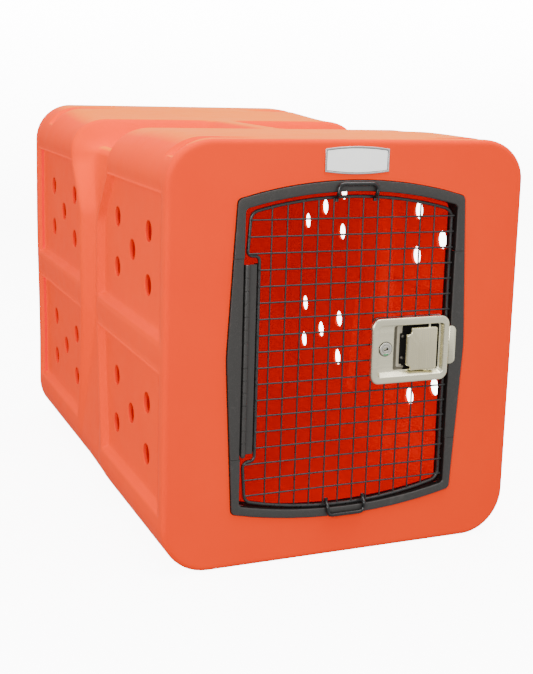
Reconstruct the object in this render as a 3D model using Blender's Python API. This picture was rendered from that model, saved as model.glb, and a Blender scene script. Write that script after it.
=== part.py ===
"""Large rotomoulded animal kennel: one-piece plastic shell, steel door frame, hinged wire door
with a flush paddle latch.

Metres, +Z up. The origin is the centre of the flat base, where the kennel stands on the floor.
The door is in the front face, at -Y, and is hinged on the -X side.
"""

import math

import bmesh
import bpy
from mathutils import Vector

MM = 0.001

# Shell
WIDTH = 607 * MM
HEIGHT = 677 * MM
LENGTH = 942 * MM
WALL = 6 * MM
CORNER_RADIUS = 75 * MM
END_FILLET = 22 * MM
SIDE_TAPER = 9 * MM
TOP_TAPER = 13 * MM
TAPER_START = 440 * MM
TAPER_END = 150 * MM

# Waist channel: half-widths at heights, and depths
WAIST_HALF_WIDTHS = ((0, 100), (100, 100), (314, 67), (502, 67), (586, 135), (640, 147), (677, 147))
WAIST_DEPTHS = ((0, 0), (75, 2), (120, 6), (314, 22), (545, 26), (602, 40), (665, 56), (677, 57))
RIDGE = 3 * MM
CHANNEL_SLOPE = 34 * MM
SPINE_HALF_WIDTH = 11 * MM
SPINE_FOOT = 70 * MM

# Recessed side panels: height ranges, the end near the lobe's face, depth and slope
PANEL_HEIGHTS = ((90 * MM, 314 * MM), (362 * MM, 586 * MM))
PANEL_END = 445 * MM
PANEL_DEPTH = 12 * MM
PANEL_SLOPE = 9 * MM
PANEL_TOP_SLOPE = 4 * MM

# Strap notches over the top corners
NOTCH_STATIONS = (-434 * MM, 372 * MM)
NOTCH_HALF_WIDTH = 7 * MM
NOTCH_DEPTH = 12 * MM

# Vent holes, five to a panel
VENT_RADIUS = 17 * MM
VENT_STATIONS = (162 * MM, 252 * MM, 342 * MM)
VENT_HEIGHTS = ((159 * MM, 201.5 * MM, 244 * MM), (431 * MM, 473.5 * MM, 516 * MM))

# Door frame
FRONT = -LENGTH / 2
GAP = 0.3 * MM
FRAME_PROUD = 4 * MM
FRAME_INNER_X = 181 * MM
HINGE_INNER_X = 182 * MM
FLANGE_THICKNESS = 2.4 * MM
FLANGE_DEPTH = 30 * MM
FRAME_CORNER_X = 193.5 * MM
FRAME_BULGE_X = 206 * MM
FRAME_TOP = 606 * MM
FRAME_BOTTOM = 66 * MM
FRAME_ARC = 707 * MM
FRAME_BAND = 16 * MM
SPLIT_TOP = 490 * MM
SPLIT_BOTTOM = 182 * MM
ARC_STEPS = 12
OPENING_CLEARANCE = 0.8 * MM
RING_THICKNESS = 2 * MM
SCREW_RADIUS = 2.5 * MM
HEAD_RADIUS = 5 * MM
HEAD_HEIGHT = 3 * MM

# Wire door
PITCH = 25.4 * MM
WIRE = 1.4 * MM
EDGE_WIRE = 2.75 * MM
FIRST_VERTICAL = -135.8 * MM
VERTICALS = 12
TOP_HORIZONTAL = 547 * MM
HORIZONTALS = 18
HORIZONTAL_Y = -467.9 * MM
VERTICAL_Y = -465.5 * MM
EDGE_Y = -464.4 * MM
DOOR_HALF_WIDTH = 175 * MM
DOOR_NOTCH_X = -157 * MM
NOTCH_TOP = 488 * MM
NOTCH_BOTTOM = 172 * MM
DOOR_TOP = 580 * MM
DOOR_BOTTOM = 85.5 * MM
DOOR_ARC = 665 * MM
DOOR_CORNER_RADIUS = 18 * MM

# Hinge
HINGE_X = -177 * MM
HINGE_Y = -473 * MM
HINGE_BOTTOM = 183.5 * MM
HINGE_TOP = 480.5 * MM
KNUCKLE_RADIUS = 4.4 * MM
PIN_RADIUS = 1.9 * MM
KNUCKLES = 15
LEAF_THICKNESS = 1.5 * MM
LEAF_EDGE_X = -162.5 * MM
HINGE_TABS = 5

# Stop loops
LOOP_RADIUS = 3.2 * MM
LOOP_HALF_WIDTH = 36.8 * MM
LOOP_CENTRE_X = -0.8 * MM

# Latch
PAN_X = (35.5 * MM, 175.5 * MM)
PAN_Z = (279.5 * MM, 386.5 * MM)
PAN_FRONT = -479.5 * MM
PAN_SHEET = 1.5 * MM
PAN_SKIRT = -471.8 * MM
SHELF_X = 48 * MM
POCKET_X = 78.5 * MM
RECESS_RIGHT = 157 * MM
RECESS_Z = (296.5 * MM, 374 * MM)
SHELF_Y = -470 * MM
POCKET_Y = -463.3 * MM
PLATE_FRONT = -471.5 * MM
PLATE_BACK = -469.6 * MM
TAB_X = 188.5 * MM
TAB_Z = (305 * MM, 368 * MM)
TAB_FRONT = -477.5 * MM
CLAMP_FRONT = -461.2 * MM
CLAMP_BACK = -459.2 * MM
LATCH_SCREWS = ((54.7, 380.6), (156, 380.6), (54.7, 285.8), (156, 285.8))
PADDLE_X = (94 * MM, 150.5 * MM)
PADDLE_Z = (298 * MM, 372.5 * MM)
PADDLE_SHEET = 2 * MM
PIVOT_X = 141 * MM
PIVOT_Y = -473.5 * MM
PIVOT_RADIUS = 2 * MM
BOLT_Z = (325 * MM, 347 * MM)
BOLT_Y = (-459.2 * MM, -449.2 * MM)
BOLT_TIP = 191 * MM
BOLT_TAIL = 132 * MM
LOCK_X = 63 * MM
LOCK_Z = 335.7 * MM
LOCK_RADIUS = 11 * MM
PLUG_RADIUS = 6.5 * MM
CAM_REACH = 19 * MM

# Name plate on the front face above the door
BADGE_HALF_WIDTH = 54.5 * MM
BADGE_Z = (618.5 * MM, 653.5 * MM)
BADGE_BOW = 4 * MM
BADGE_ARC = (BADGE_HALF_WIDTH**2 + BADGE_BOW**2) / (2 * BADGE_BOW)

COLOURS = {
    "shell_orange": ((0.81, 0.14, 0.045), 0.42, 0.0),
    "black_powder_coat": ((0.035, 0.033, 0.031), 0.55, 0.0),
    "coated_wire": ((0.06, 0.06, 0.062), 0.45, 0.0),
    "latch_stainless": ((0.55, 0.52, 0.43), 0.38, 1.0),
    "zinc_steel": ((0.55, 0.56, 0.57), 0.35, 1.0),
    "plate_rim": ((0.62, 0.62, 0.62), 0.3, 1.0),
    "plate_field": ((0.82, 0.82, 0.82), 0.5, 0.0),
}


def material(name):
    """The named material, made once."""
    found = bpy.data.materials.get(name)
    if found:
        return found
    made = bpy.data.materials.new(name)
    made.use_nodes = True
    colour, roughness, metallic = COLOURS[name]
    shader = made.node_tree.nodes["Principled BSDF"]
    shader.inputs["Base Color"].default_value = (*colour, 1.0)
    shader.inputs["Roughness"].default_value = roughness
    shader.inputs["Metallic"].default_value = metallic
    made.diffuse_color = (*colour, 1.0)
    return made


def world_place(item):
    """Where an object or empty stands, added up along its parents."""
    place = Vector()
    while item:
        place += item.location
        item = item.parent
    return place


def add_object(name, mesh, slot, parent=None):
    """An object whose mesh is given in world places. Its origin is its parent's."""
    bmesh.ops.translate(mesh, verts=mesh.verts, vec=-world_place(parent))
    data = bpy.data.meshes.new(name)
    mesh.to_mesh(data)
    mesh.free()
    made = bpy.data.objects.new(name, data)
    bpy.context.scene.collection.objects.link(made)
    made.parent = parent
    if slot:
        data.materials.append(material(slot))
        data.shade_smooth()
        data.set_sharp_from_angle(angle=math.radians(32))
    return made


def add_pivot(name, at, parent=None):
    """An empty on a joint's axis, for pieces to hang from."""
    made = bpy.data.objects.new(name, None)
    bpy.context.scene.collection.objects.link(made)
    made.location = Vector(at) - world_place(parent)
    made.parent = parent
    return made


def hide_cutter(cutter):
    cutter.hide_render = True
    cutter.display_type = "WIRE"


def combine(target, mesh, operation="DIFFERENCE"):
    """Joins or cuts a target with a tool, by a Boolean modifier."""
    tool = add_object(f"{target.name}_tool", mesh, None)
    hide_cutter(tool)
    step = target.modifiers.new("Boolean", "BOOLEAN")
    step.operation = operation
    step.object = tool
    step.solver = "EXACT"


def join_flat_faces(target):
    """Merges faces that lie in one plane, which a Boolean leaves in pieces."""
    step = target.modifiers.new("Flat", "DECIMATE")
    step.decimate_type = "DISSOLVE"
    step.angle_limit = math.radians(0.05)


def face_out(mesh):
    bmesh.ops.recalc_face_normals(mesh, faces=mesh.faces)
    return mesh


def add_box(mesh, x, y, z):
    """Adds a box from its ranges along x, y and z."""
    corners = [mesh.verts.new((x[i], y[j], z[k])) for i in (0, 1) for j in (0, 1) for k in (0, 1)]
    for face in ((0, 1, 3, 2), (4, 6, 7, 5), (0, 4, 5, 1), (2, 3, 7, 6), (0, 2, 6, 4), (1, 5, 7, 3)):
        mesh.faces.new([corners[i] for i in face])


def box(x, y, z):
    mesh = bmesh.new()
    add_box(mesh, x, y, z)
    return face_out(mesh)


def add_prism(mesh, outline, low, high, place):
    """Adds an outline's extrusion. place(u, v, w) gives the point for outline (u, v) at depth w."""
    count = len(outline)
    ends = [[mesh.verts.new(place(u, v, w)) for u, v in outline] for w in (low, high)]
    mesh.faces.new(ends[0])
    mesh.faces.new(ends[1])
    for i in range(count):
        j = (i + 1) % count
        mesh.faces.new((ends[0][i], ends[0][j], ends[1][j], ends[1][i]))


def along_y(u, v, w):
    return u, w, v


def along_z(u, v, w):
    return u, v, w


def prism(outline, low, high, place=along_y):
    mesh = bmesh.new()
    add_prism(mesh, outline, low, high, place)
    return face_out(mesh)


def circle(centre, radius, sides, turn=0.0):
    steps = [turn + 2 * math.pi * i / sides for i in range(sides)]
    return [(centre[0] + radius * math.cos(a), centre[1] + radius * math.sin(a)) for a in steps]


def rounded_box(x, z, radius, steps=3):
    """A rectangle's outline with round corners, anticlockwise."""
    outline = []
    corners = ((x[1], z[0], -90), (x[1], z[1], 0), (x[0], z[1], 90), (x[0], z[0], 180))
    for cx, cz, start in corners:
        middle_x = cx - math.copysign(radius, cx - sum(x) / 2)
        middle_z = cz - math.copysign(radius, cz - sum(z) / 2)
        for i in range(steps + 1):
            a = math.radians(start + 90 * i / steps)
            outline.append((middle_x + radius * math.cos(a), middle_z + radius * math.sin(a)))
    return outline


def add_tube(mesh, points, radius, sides, closed=False):
    """Adds a round bar along points."""
    points = [Vector(p) for p in points]
    count = len(points)
    rings = []
    side = None
    for i, point in enumerate(points):
        before = points[i - 1] if i or closed else point
        after = points[(i + 1) % count] if i < count - 1 or closed else point
        forward = (after - before).normalized()
        if side is None:
            side = forward.orthogonal().normalized()
        side = (side - forward * side.dot(forward)).normalized()
        up = forward.cross(side)
        turn = [2 * math.pi * (k + 0.5) / sides for k in range(sides)]
        rings.append([mesh.verts.new(point + radius * (math.cos(a) * side + math.sin(a) * up)) for a in turn])
    for i in range(count if closed else count - 1):
        ring, following = rings[i], rings[(i + 1) % count]
        for k in range(sides):
            m = (k + 1) % sides
            mesh.faces.new((ring[k], ring[m], following[m], following[k]))
    if not closed:
        mesh.faces.new(rings[0])
        mesh.faces.new(rings[-1])


def tube(points, radius, sides, closed=False):
    mesh = bmesh.new()
    add_tube(mesh, points, radius, sides, closed)
    return face_out(mesh)


def turned(profile, axis_point, axis, sides):
    """A solid turned about an axis through a point. profile: (distance along the axis, radius)."""
    mesh = bmesh.new()
    axis = Vector(axis)
    side = axis.orthogonal().normalized()
    up = axis.cross(side)
    rings = []
    for along, radius in profile:
        centre = Vector(axis_point) + axis * along
        turn = [2 * math.pi * k / sides for k in range(sides)]
        rings.append([mesh.verts.new(centre + radius * (math.cos(a) * side + math.sin(a) * up)) for a in turn])
    for ring, following in zip(rings, rings[1:]):
        for k in range(sides):
            m = (k + 1) % sides
            mesh.faces.new((ring[k], ring[m], following[m], following[k]))
    mesh.faces.new(rings[0])
    mesh.faces.new(rings[-1])
    return face_out(mesh)


# ---------------------------------------------------------------- shell


def smooth(t):
    t = min(max(t, 0.0), 1.0)
    return t * t * (3 - 2 * t)


def ramp(t):
    return min(max(t, 0.0), 1.0)


def from_table(table, height):
    """A value in metres read between a table's (height, value) rows in millimetres."""
    h = height / MM
    for (h0, v0), (h1, v1) in zip(table, table[1:]):
        if h <= h1:
            return (v0 + (v1 - v0) * (h - h0) / (h1 - h0)) * MM
    return table[-1][1] * MM


def waist_half_width(z):
    return from_table(WAIST_HALF_WIDTHS, z)


def taper_inset(normal_x, normal_z, y):
    amount = smooth((TAPER_START - abs(y)) / (TAPER_START - TAPER_END))
    return amount * (SIDE_TAPER * normal_x**2 + TOP_TAPER * max(normal_z, 0) ** 2)


def channel_inset(x, z, y):
    """The waist channel, with the spine left standing along the middle of the top."""
    edge = waist_half_width(z) - RIDGE
    across = smooth((edge - abs(y)) / CHANNEL_SLOPE)
    flank = (abs(x) - SPINE_HALF_WIDTH) / (SPINE_FOOT - SPINE_HALF_WIDTH)
    spine = smooth(flank) if z > HEIGHT - CORNER_RADIUS else 1.0
    return across * spine * from_table(WAIST_DEPTHS, z)


def panel_inset(normal_x, z, y):
    if abs(normal_x) < 0.99:
        return 0.0
    inner = (abs(y) - waist_half_width(z) - RIDGE) / PANEL_SLOPE
    outer = (PANEL_END - abs(y)) / PANEL_SLOPE
    depth = 0.0
    for low, high in PANEL_HEIGHTS:
        floor = min(inner, outer, (z - low) / PANEL_SLOPE, (high - z) / PANEL_TOP_SLOPE)
        depth = max(depth, PANEL_DEPTH * ramp(floor))
    return depth


def notch_inset(x, z, y):
    """The strap notches: shallow slots over the top corners."""
    corner_x = abs(x) - (WIDTH / 2 - CORNER_RADIUS)
    corner_z = z - (HEIGHT - CORNER_RADIUS)
    if min(corner_x, corner_z) < 0:
        return 0.0
    angle = math.degrees(math.atan2(corner_z, corner_x))
    along = math.sin(math.pi * ramp((angle - 32) / 58))
    depth = 0.0
    for station in NOTCH_STATIONS:
        across = ramp((NOTCH_HALF_WIDTH - abs(y - station)) / NOTCH_HALF_WIDTH)
        depth = max(depth, NOTCH_DEPTH * along * across)
    return depth


def end_inset(y):
    past = abs(y) - (LENGTH / 2 - END_FILLET)
    if past <= 0:
        return 0.0
    return END_FILLET - math.sqrt(max(END_FILLET**2 - past**2, 0.0))


def shell_point(x, z, normal, y, inward):
    """A point of the shell's outer skin, or of its inner skin, inward of the outer one."""
    depth = taper_inset(normal[0], normal[1], y)
    depth += max(channel_inset(x, z, y), panel_inset(normal[0], z, y), notch_inset(x, z, y))
    depth += end_inset(y) + inward
    along = y * (LENGTH / 2 - inward) / (LENGTH / 2)
    return x - normal[0] * depth, along, z - normal[1] * depth


def right_half_section():
    """Points and outward normals from the middle of the base up the +X side to the middle of the top."""
    half, radius = WIDTH / 2, CORNER_RADIUS
    points = [((x, 0.0), (0.0, -1.0)) for x in (0.0, 0.5 * (half - radius))]
    for i in range(4):
        a = math.radians(-90 + 90 * i / 3)
        normal = (math.cos(a), math.sin(a))
        points.append(((half - radius + radius * normal[0], radius + radius * normal[1]), normal))
    for low, high in PANEL_HEIGHTS:
        points += [((half, z), (1.0, 0.0)) for z in (low, low + PANEL_SLOPE)]
        if high > 0.5:
            points.append(((half, 502 * MM), (1.0, 0.0)))
        points += [((half, z), (1.0, 0.0)) for z in (high - PANEL_TOP_SLOPE, high)]
    for i in range(5):
        a = math.radians(90 * i / 4)
        normal = (math.cos(a), math.sin(a))
        points.append(((half - radius + radius * normal[0], HEIGHT - radius + radius * normal[1]), normal))
    points += [((x, HEIGHT), (0.0, 1.0)) for x in (SPINE_FOOT, 0.5 * SPINE_FOOT, SPINE_HALF_WIDTH, 0.0)]
    return points


def section():
    """The whole section, anticlockwise seen from the front."""
    right = right_half_section()
    left = [((-p[0], p[1]), (-n[0], n[1])) for p, n in reversed(right[1:-1])]
    return right + left


def stations(z):
    """Places along the length where the skin has a row of points, at a height."""
    edge = waist_half_width(z)
    near = [0.0, 0.45 * (edge - RIDGE), edge - RIDGE - 8 * MM, edge - RIDGE, edge + RIDGE]
    near.append(edge + RIDGE + PANEL_SLOPE)
    far = [PANEL_END - PANEL_SLOPE, PANEL_END, LENGTH / 2 - END_FILLET]
    far += [LENGTH / 2 - END_FILLET * (1 - math.sin(math.radians(a))) for a in (30, 62, 90)]
    rows = [-y for y in reversed(far)]
    rows = sorted(rows + notch_rows(NOTCH_STATIONS[0]))
    rows += [-0.5 * (PANEL_END + edge)] + [-y for y in reversed(near[1:])]
    rear = sorted(far + notch_rows(NOTCH_STATIONS[1]))
    return rows + near + [0.5 * (PANEL_END + edge)] + rear


def notch_rows(station):
    return [station - NOTCH_HALF_WIDTH, station, station + NOTCH_HALF_WIDTH]


def add_skin(mesh, inward):
    """Adds one closed skin of the shell."""
    ring = section()
    columns = []
    for (x, z), normal in ring:
        columns.append([mesh.verts.new(shell_point(x, z, normal, y, inward)) for y in stations(z)])
    count, rows = len(columns), len(columns[0])
    for i in range(count):
        here, there = columns[i], columns[(i + 1) % count]
        for k in range(rows - 1):
            mesh.faces.new((here[k], there[k], there[k + 1], here[k + 1]))
    for k in (0, rows - 1):
        mesh.faces.new([column[k] for column in columns])


def skin(inward):
    mesh = bmesh.new()
    add_skin(mesh, inward)
    return face_out(mesh)


def vent_places():
    """Each vent's place along the length and its height."""
    near, middle, far = VENT_STATIONS
    for low, centre, high in VENT_HEIGHTS:
        for side in (-1, 1):
            for y, z in ((near, low), (near, high), (middle, centre), (far, low), (far, high)):
                yield side * y, z


def vent_cutters():
    mesh = bmesh.new()
    for y, z in vent_places():
        add_prism(mesh, circle((y, z), VENT_RADIUS, 10), -WIDTH, WIDTH, lambda u, v, w: (w, u, v))
    return face_out(mesh)


def build_shell():
    shell = add_object("shell", skin(0.0), "shell_orange")
    combine(shell, skin(WALL))
    combine(shell, vent_cutters())
    opening = frame_outline(OPENING_CLEARANCE + FLANGE_THICKNESS)
    combine(shell, prism(opening, FRONT - 20 * MM, FRONT + 20 * MM))
    holes = bmesh.new()
    for x, z in frame_screw_places():
        add_prism(holes, circle((x, z), SCREW_RADIUS + GAP, 8), FRONT - 9 * MM, FRONT + 9 * MM, along_y)
    combine(shell, face_out(holes))
    join_flat_faces(shell)


# ---------------------------------------------------------------- door frame


def arc_z(x, middle_z, radius, side):
    """Height at x on an arc that is middle_z high at x = 0. side is 1 for a top arc, -1 for a bottom one."""
    return middle_z - side * (radius - math.sqrt(radius**2 - x**2))


def frame_arc(side, inset, half_width):
    """Points along the top or bottom bow from -x to +x, inset from the frame's outer edge."""
    middle_z = (FRAME_TOP if side > 0 else FRAME_BOTTOM) - side * inset
    xs = [-half_width + 2 * half_width * i / ARC_STEPS for i in range(ARC_STEPS + 1)]
    return [(x, arc_z(x, middle_z, FRAME_ARC - inset, side)) for x in xs]


def frame_outline(grow):
    """The frame's inner outline, grown outward by a distance."""
    half = FRAME_INNER_X + grow
    top = frame_arc(1, FRAME_BAND - grow, half)
    bottom = frame_arc(-1, FRAME_BAND - grow, half)
    return list(reversed(top)) + bottom


def outer_x(z):
    """Half the frame's outer width at a height: it bulges at the middle."""
    corner_top = arc_z(FRAME_CORNER_X, FRAME_TOP, FRAME_ARC, 1)
    middle = (FRAME_TOP + FRAME_BOTTOM) / 2
    share = min(abs(z - middle) / (corner_top - middle), 1.0)
    return FRAME_BULGE_X - (FRAME_BULGE_X - FRAME_CORNER_X) * share


def bow_outline(side, split_z, outer_inset, outer_half):
    """A bow with its two short legs, from an outer arc round to the frame's inner edge."""
    leg = outer_x(split_z) if outer_inset == 0 else outer_half
    outer = frame_arc(side, outer_inset, outer_half)
    inner = frame_arc(side, FRAME_BAND, FRAME_INNER_X)
    return [(-leg, split_z), *outer, (leg, split_z), (FRAME_INNER_X, split_z),
            *reversed(inner), (-FRAME_INNER_X, split_z)]


def build_bow(name, side, split_z):
    outline = bow_outline(side, split_z, 0.0, FRAME_CORNER_X)
    bow = add_object(name, prism(outline, FRONT - FRAME_PROUD, FRONT - GAP), "black_powder_coat")
    flange = bow_outline(side, split_z, FRAME_BAND - FLANGE_THICKNESS, FRAME_INNER_X + FLANGE_THICKNESS)
    y = (FRONT - 0.5 * FRAME_PROUD, FRONT - FRAME_PROUD + FLANGE_DEPTH)
    combine(bow, prism(flange, *y), "UNION")


def build_side_rail(name, side, inner):
    """A straight rail between the bows. The hinge rail stands a little further out."""
    low, high = SPLIT_BOTTOM + GAP, SPLIT_TOP - GAP
    centre = (FRAME_BULGE_X * side, (FRAME_TOP + FRAME_BOTTOM) / 2)
    band = [(side * outer_x(low), low), centre, (side * outer_x(high), high), (side * inner, high),
            (side * inner, low)]
    rail = add_object(name, prism(band, FRONT - FRAME_PROUD, FRONT - GAP), "black_powder_coat")
    x = sorted((side * inner, side * (FRAME_INNER_X + FLANGE_THICKNESS)))
    y = (FRONT - 0.5 * FRAME_PROUD, FRONT - FRAME_PROUD + FLANGE_DEPTH)
    combine(rail, box(x, y, (low, high)), "UNION")
    return rail


def bolt_slot(x):
    """The slot that the latch bolt passes through, over a range of x."""
    room = 0.7 * MM
    return box(x, (BOLT_Y[0] - room, BOLT_Y[1] + room), (BOLT_Z[0] - room, BOLT_Z[1] + room))


def build_strike():
    """A doubler behind the latch rail's flange, with the same slot."""
    x = (FRAME_INNER_X + FLANGE_THICKNESS + GAP, FRAME_INNER_X + FLANGE_THICKNESS + GAP + 2.5 * MM)
    y = (FRONT + WALL + RING_THICKNESS + 1 * MM, FRONT - FRAME_PROUD + FLANGE_DEPTH)
    strike = add_object("strike_plate", box(x, y, (311 * MM, 361 * MM)), "zinc_steel")
    combine(strike, bolt_slot((x[0] - 5 * MM, x[1] + 5 * MM)))


def frame_screw_places():
    """Eight fixings through the band: two in each bow and two in each side rail."""
    inset = 0.3 * FRAME_BAND
    places = []
    for x in (-110 * MM, 110 * MM):
        places.append((x, arc_z(x, FRAME_TOP - inset, FRAME_ARC - inset, 1)))
        places.append((x, arc_z(x, FRAME_BOTTOM + inset, FRAME_ARC - inset, -1)))
        for z in (250 * MM, 422 * MM):
            places.append((math.copysign(FRAME_INNER_X + 14 * MM, x), z))
    return places


def build_frame_screws():
    back = FRONT + WALL + GAP
    for number, (x, z) in enumerate(frame_screw_places(), 1):
        start = (x, FRONT, z)
        head = back - FRONT + RING_THICKNESS + GAP
        profile = [(0, SCREW_RADIUS), (head, SCREW_RADIUS), (head, HEAD_RADIUS),
                   (head + HEAD_HEIGHT, 0.7 * HEAD_RADIUS)]
        add_object(f"frame_screw_{number}", turned(profile, start, (0, 1, 0), 10), "zinc_steel")


def build_backing_ring():
    """A steel ring behind the front wall, which the frame's fixings pull against."""
    y = (FRONT + WALL + GAP, FRONT + WALL + GAP + RING_THICKNESS)
    ring = add_object("frame_backing_ring", prism(frame_outline(19 * MM), *y), "zinc_steel")
    grow = OPENING_CLEARANCE + FLANGE_THICKNESS + 1.5 * MM
    combine(ring, prism(frame_outline(grow), y[0] - 5 * MM, y[1] + 5 * MM))
    holes = bmesh.new()
    for x, z in frame_screw_places():
        add_prism(holes, circle((x, z), SCREW_RADIUS + GAP, 8), y[0] - 3 * MM, y[1] + 3 * MM, along_y)
    combine(ring, face_out(holes))


def build_frame():
    build_bow("frame_top_bow", 1, SPLIT_TOP)
    build_bow("frame_bottom_bow", -1, SPLIT_BOTTOM)
    build_side_rail("frame_hinge_rail", -1, HINGE_INNER_X)
    rail = build_side_rail("frame_latch_rail", 1, FRAME_INNER_X)
    combine(rail, bolt_slot((FRAME_INNER_X - 5 * MM, FRAME_INNER_X + 8 * MM)))
    build_strike()
    build_backing_ring()
    build_frame_screws()


# ---------------------------------------------------------------- hinge


def knuckle_ranges(first):
    """Height ranges of every second knuckle, from knuckle number first."""
    pitch = (HINGE_TOP - HINGE_BOTTOM) / KNUCKLES
    for i in range(first, KNUCKLES, 2):
        yield HINGE_BOTTOM + i * pitch + 0.5 * GAP, HINGE_BOTTOM + (i + 1) * pitch - 0.5 * GAP


def knuckle_room(first):
    """Boxes that clear a leaf away from the other leaf's knuckles."""
    mesh = bmesh.new()
    reach = KNUCKLE_RADIUS + GAP
    for low, high in knuckle_ranges(first):
        x = (HINGE_X - reach, HINGE_X + reach)
        y = (HINGE_Y - reach, HINGE_Y + reach)
        add_box(mesh, x, y, (low - GAP, high + GAP))
    return face_out(mesh)


def knuckles(first):
    mesh = bmesh.new()
    for low, high in knuckle_ranges(first):
        add_prism(mesh, circle((HINGE_X, HINGE_Y), KNUCKLE_RADIUS, 10), low, high, along_z)
    return face_out(mesh)


def pin_bore():
    outline = circle((HINGE_X, HINGE_Y), PIN_RADIUS + GAP, 8)
    return prism(outline, HINGE_BOTTOM - 9 * MM, HINGE_TOP + 9 * MM, along_z)


def build_hinge(door):
    z = (HINGE_BOTTOM, HINGE_TOP)
    outer = HINGE_X - KNUCKLE_RADIUS
    frame_leaf = box((outer, outer + LEAF_THICKNESS), (HINGE_Y, FRONT + 22 * MM), z)
    leaf = add_object("hinge_frame_leaf", frame_leaf, "black_powder_coat")
    combine(leaf, knuckle_room(1))
    combine(leaf, knuckles(0), "UNION")
    combine(leaf, pin_bore())

    back = HINGE_Y + KNUCKLE_RADIUS
    door_leaf = box((HINGE_X, LEAF_EDGE_X), (back - LEAF_THICKNESS, back), z)
    leaf = add_object("hinge_door_leaf", door_leaf, "black_powder_coat", door)
    combine(leaf, knuckle_room(0))
    combine(leaf, knuckles(1), "UNION")
    combine(leaf, hinge_tabs(back), "UNION")
    combine(leaf, pin_bore())

    pin = [(0, PIN_RADIUS), (HINGE_TOP - HINGE_BOTTOM, PIN_RADIUS)]
    add_object("hinge_pin", turned(pin, (HINGE_X, HINGE_Y, HINGE_BOTTOM), (0, 0, 1), 8), "zinc_steel")


def hinge_tabs(back):
    """Tabs that fold back from the door leaf and reach behind the door's edge wire."""
    behind = EDGE_Y + EDGE_WIRE + GAP
    fold = LEAF_EDGE_X - LEAF_THICKNESS
    outline = [(fold, back - 0.5 * LEAF_THICKNESS), (LEAF_EDGE_X, back - 0.5 * LEAF_THICKNESS),
               (LEAF_EDGE_X, behind), (DOOR_NOTCH_X + 4 * MM, behind),
               (DOOR_NOTCH_X + 4 * MM, behind + LEAF_THICKNESS), (fold, behind + LEAF_THICKNESS)]
    mesh = bmesh.new()
    spacing = (HINGE_TOP - HINGE_BOTTOM) / HINGE_TABS
    for i in range(HINGE_TABS):
        middle = HINGE_BOTTOM + (i + 0.5) * spacing
        add_prism(mesh, outline, middle - 9 * MM, middle + 9 * MM, along_z)
    return face_out(mesh)


# ---------------------------------------------------------------- wire door


def rounded_path(corners, steps=3):
    """A closed path with its corners rounded. corners: (x, z, radius)."""
    path = []
    count = len(corners)
    for i, (x, z, radius) in enumerate(corners):
        point = Vector((x, z))
        if radius == 0:
            path.append(point)
            continue
        back = (Vector(corners[i - 1][:2]) - point).normalized()
        ahead = (Vector(corners[(i + 1) % count][:2]) - point).normalized()
        half_angle = back.angle(ahead) / 2
        reach = radius / math.tan(half_angle)
        centre = point + (back + ahead).normalized() * (radius / math.sin(half_angle))
        start, end = point + back * reach - centre, point + ahead * reach - centre
        turn = start.angle_signed(end)
        for k in range(steps + 1):
            angle = -turn * k / steps
            cos, sin = math.cos(angle), math.sin(angle)
            path.append(centre + Vector((start.x * cos - start.y * sin, start.x * sin + start.y * cos)))
    return path


def door_arc_z(x, side):
    return arc_z(x, DOOR_TOP if side > 0 else DOOR_BOTTOM, DOOR_ARC, side)


def door_edge_path():
    """The edge wire's centre line, with a notch beside the hinge."""
    half = DOOR_HALF_WIDTH
    inner_x = half - 2 * DOOR_CORNER_RADIUS
    steps = ARC_STEPS - 4
    xs = [-inner_x + 2 * inner_x * i / steps for i in range(steps + 1)]
    top = [(x, door_arc_z(x, 1), 0) for x in xs]
    bottom = [(x, door_arc_z(x, -1), 0) for x in reversed(xs)]
    high, low = door_arc_z(half, 1), door_arc_z(half, -1)
    corner, small = DOOR_CORNER_RADIUS, 8 * MM
    corners = [(-half, high, corner), *top, (half, high, corner), (half, low, corner), *bottom,
               (-half, low, corner), (-half, NOTCH_BOTTOM, small), (DOOR_NOTCH_X, NOTCH_BOTTOM, small),
               (DOOR_NOTCH_X, NOTCH_TOP, small), (-half, NOTCH_TOP, small)]
    return [(p.x, EDGE_Y, p.y) for p in rounded_path(corners)]


def vertical_places():
    return [FIRST_VERTICAL + PITCH * i for i in range(VERTICALS)]


def horizontal_places():
    return [TOP_HORIZONTAL - PITCH * i for i in range(HORIZONTALS)]


def vertical_wires():
    mesh = bmesh.new()
    y = (VERTICAL_Y - WIRE, VERTICAL_Y + WIRE)
    for x in vertical_places():
        add_box(mesh, (x - WIRE, x + WIRE), y, (door_arc_z(x, -1), door_arc_z(x, 1)))
    return face_out(mesh)


def horizontal_wires():
    mesh = bmesh.new()
    y = (HORIZONTAL_Y - WIRE, HORIZONTAL_Y + WIRE)
    over = 3.9 * MM
    for z in horizontal_places():
        left = DOOR_NOTCH_X if NOTCH_BOTTOM < z < NOTCH_TOP else -DOOR_HALF_WIDTH
        add_box(mesh, (left - over, DOOR_HALF_WIDTH + over), y, (z - WIRE, z + WIRE))
    return face_out(mesh)


def build_wire_panel(door):
    edge = tube(door_edge_path(), EDGE_WIRE, 6, closed=True)
    panel = add_object("door_wire_panel", edge, "coated_wire", door)
    combine(panel, vertical_wires(), "UNION")
    combine(panel, horizontal_wires(), "UNION")
    room = 3 * MM
    x = (SHELF_X - room, RECESS_RIGHT + PAN_SHEET + room)
    z = (RECESS_Z[0] - PAN_SHEET - room, RECESS_Z[1] + PAN_SHEET + room)
    combine(panel, box(x, (HORIZONTAL_Y - 9 * MM, EDGE_Y + 9 * MM), z))
    join_flat_faces(panel)


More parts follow.
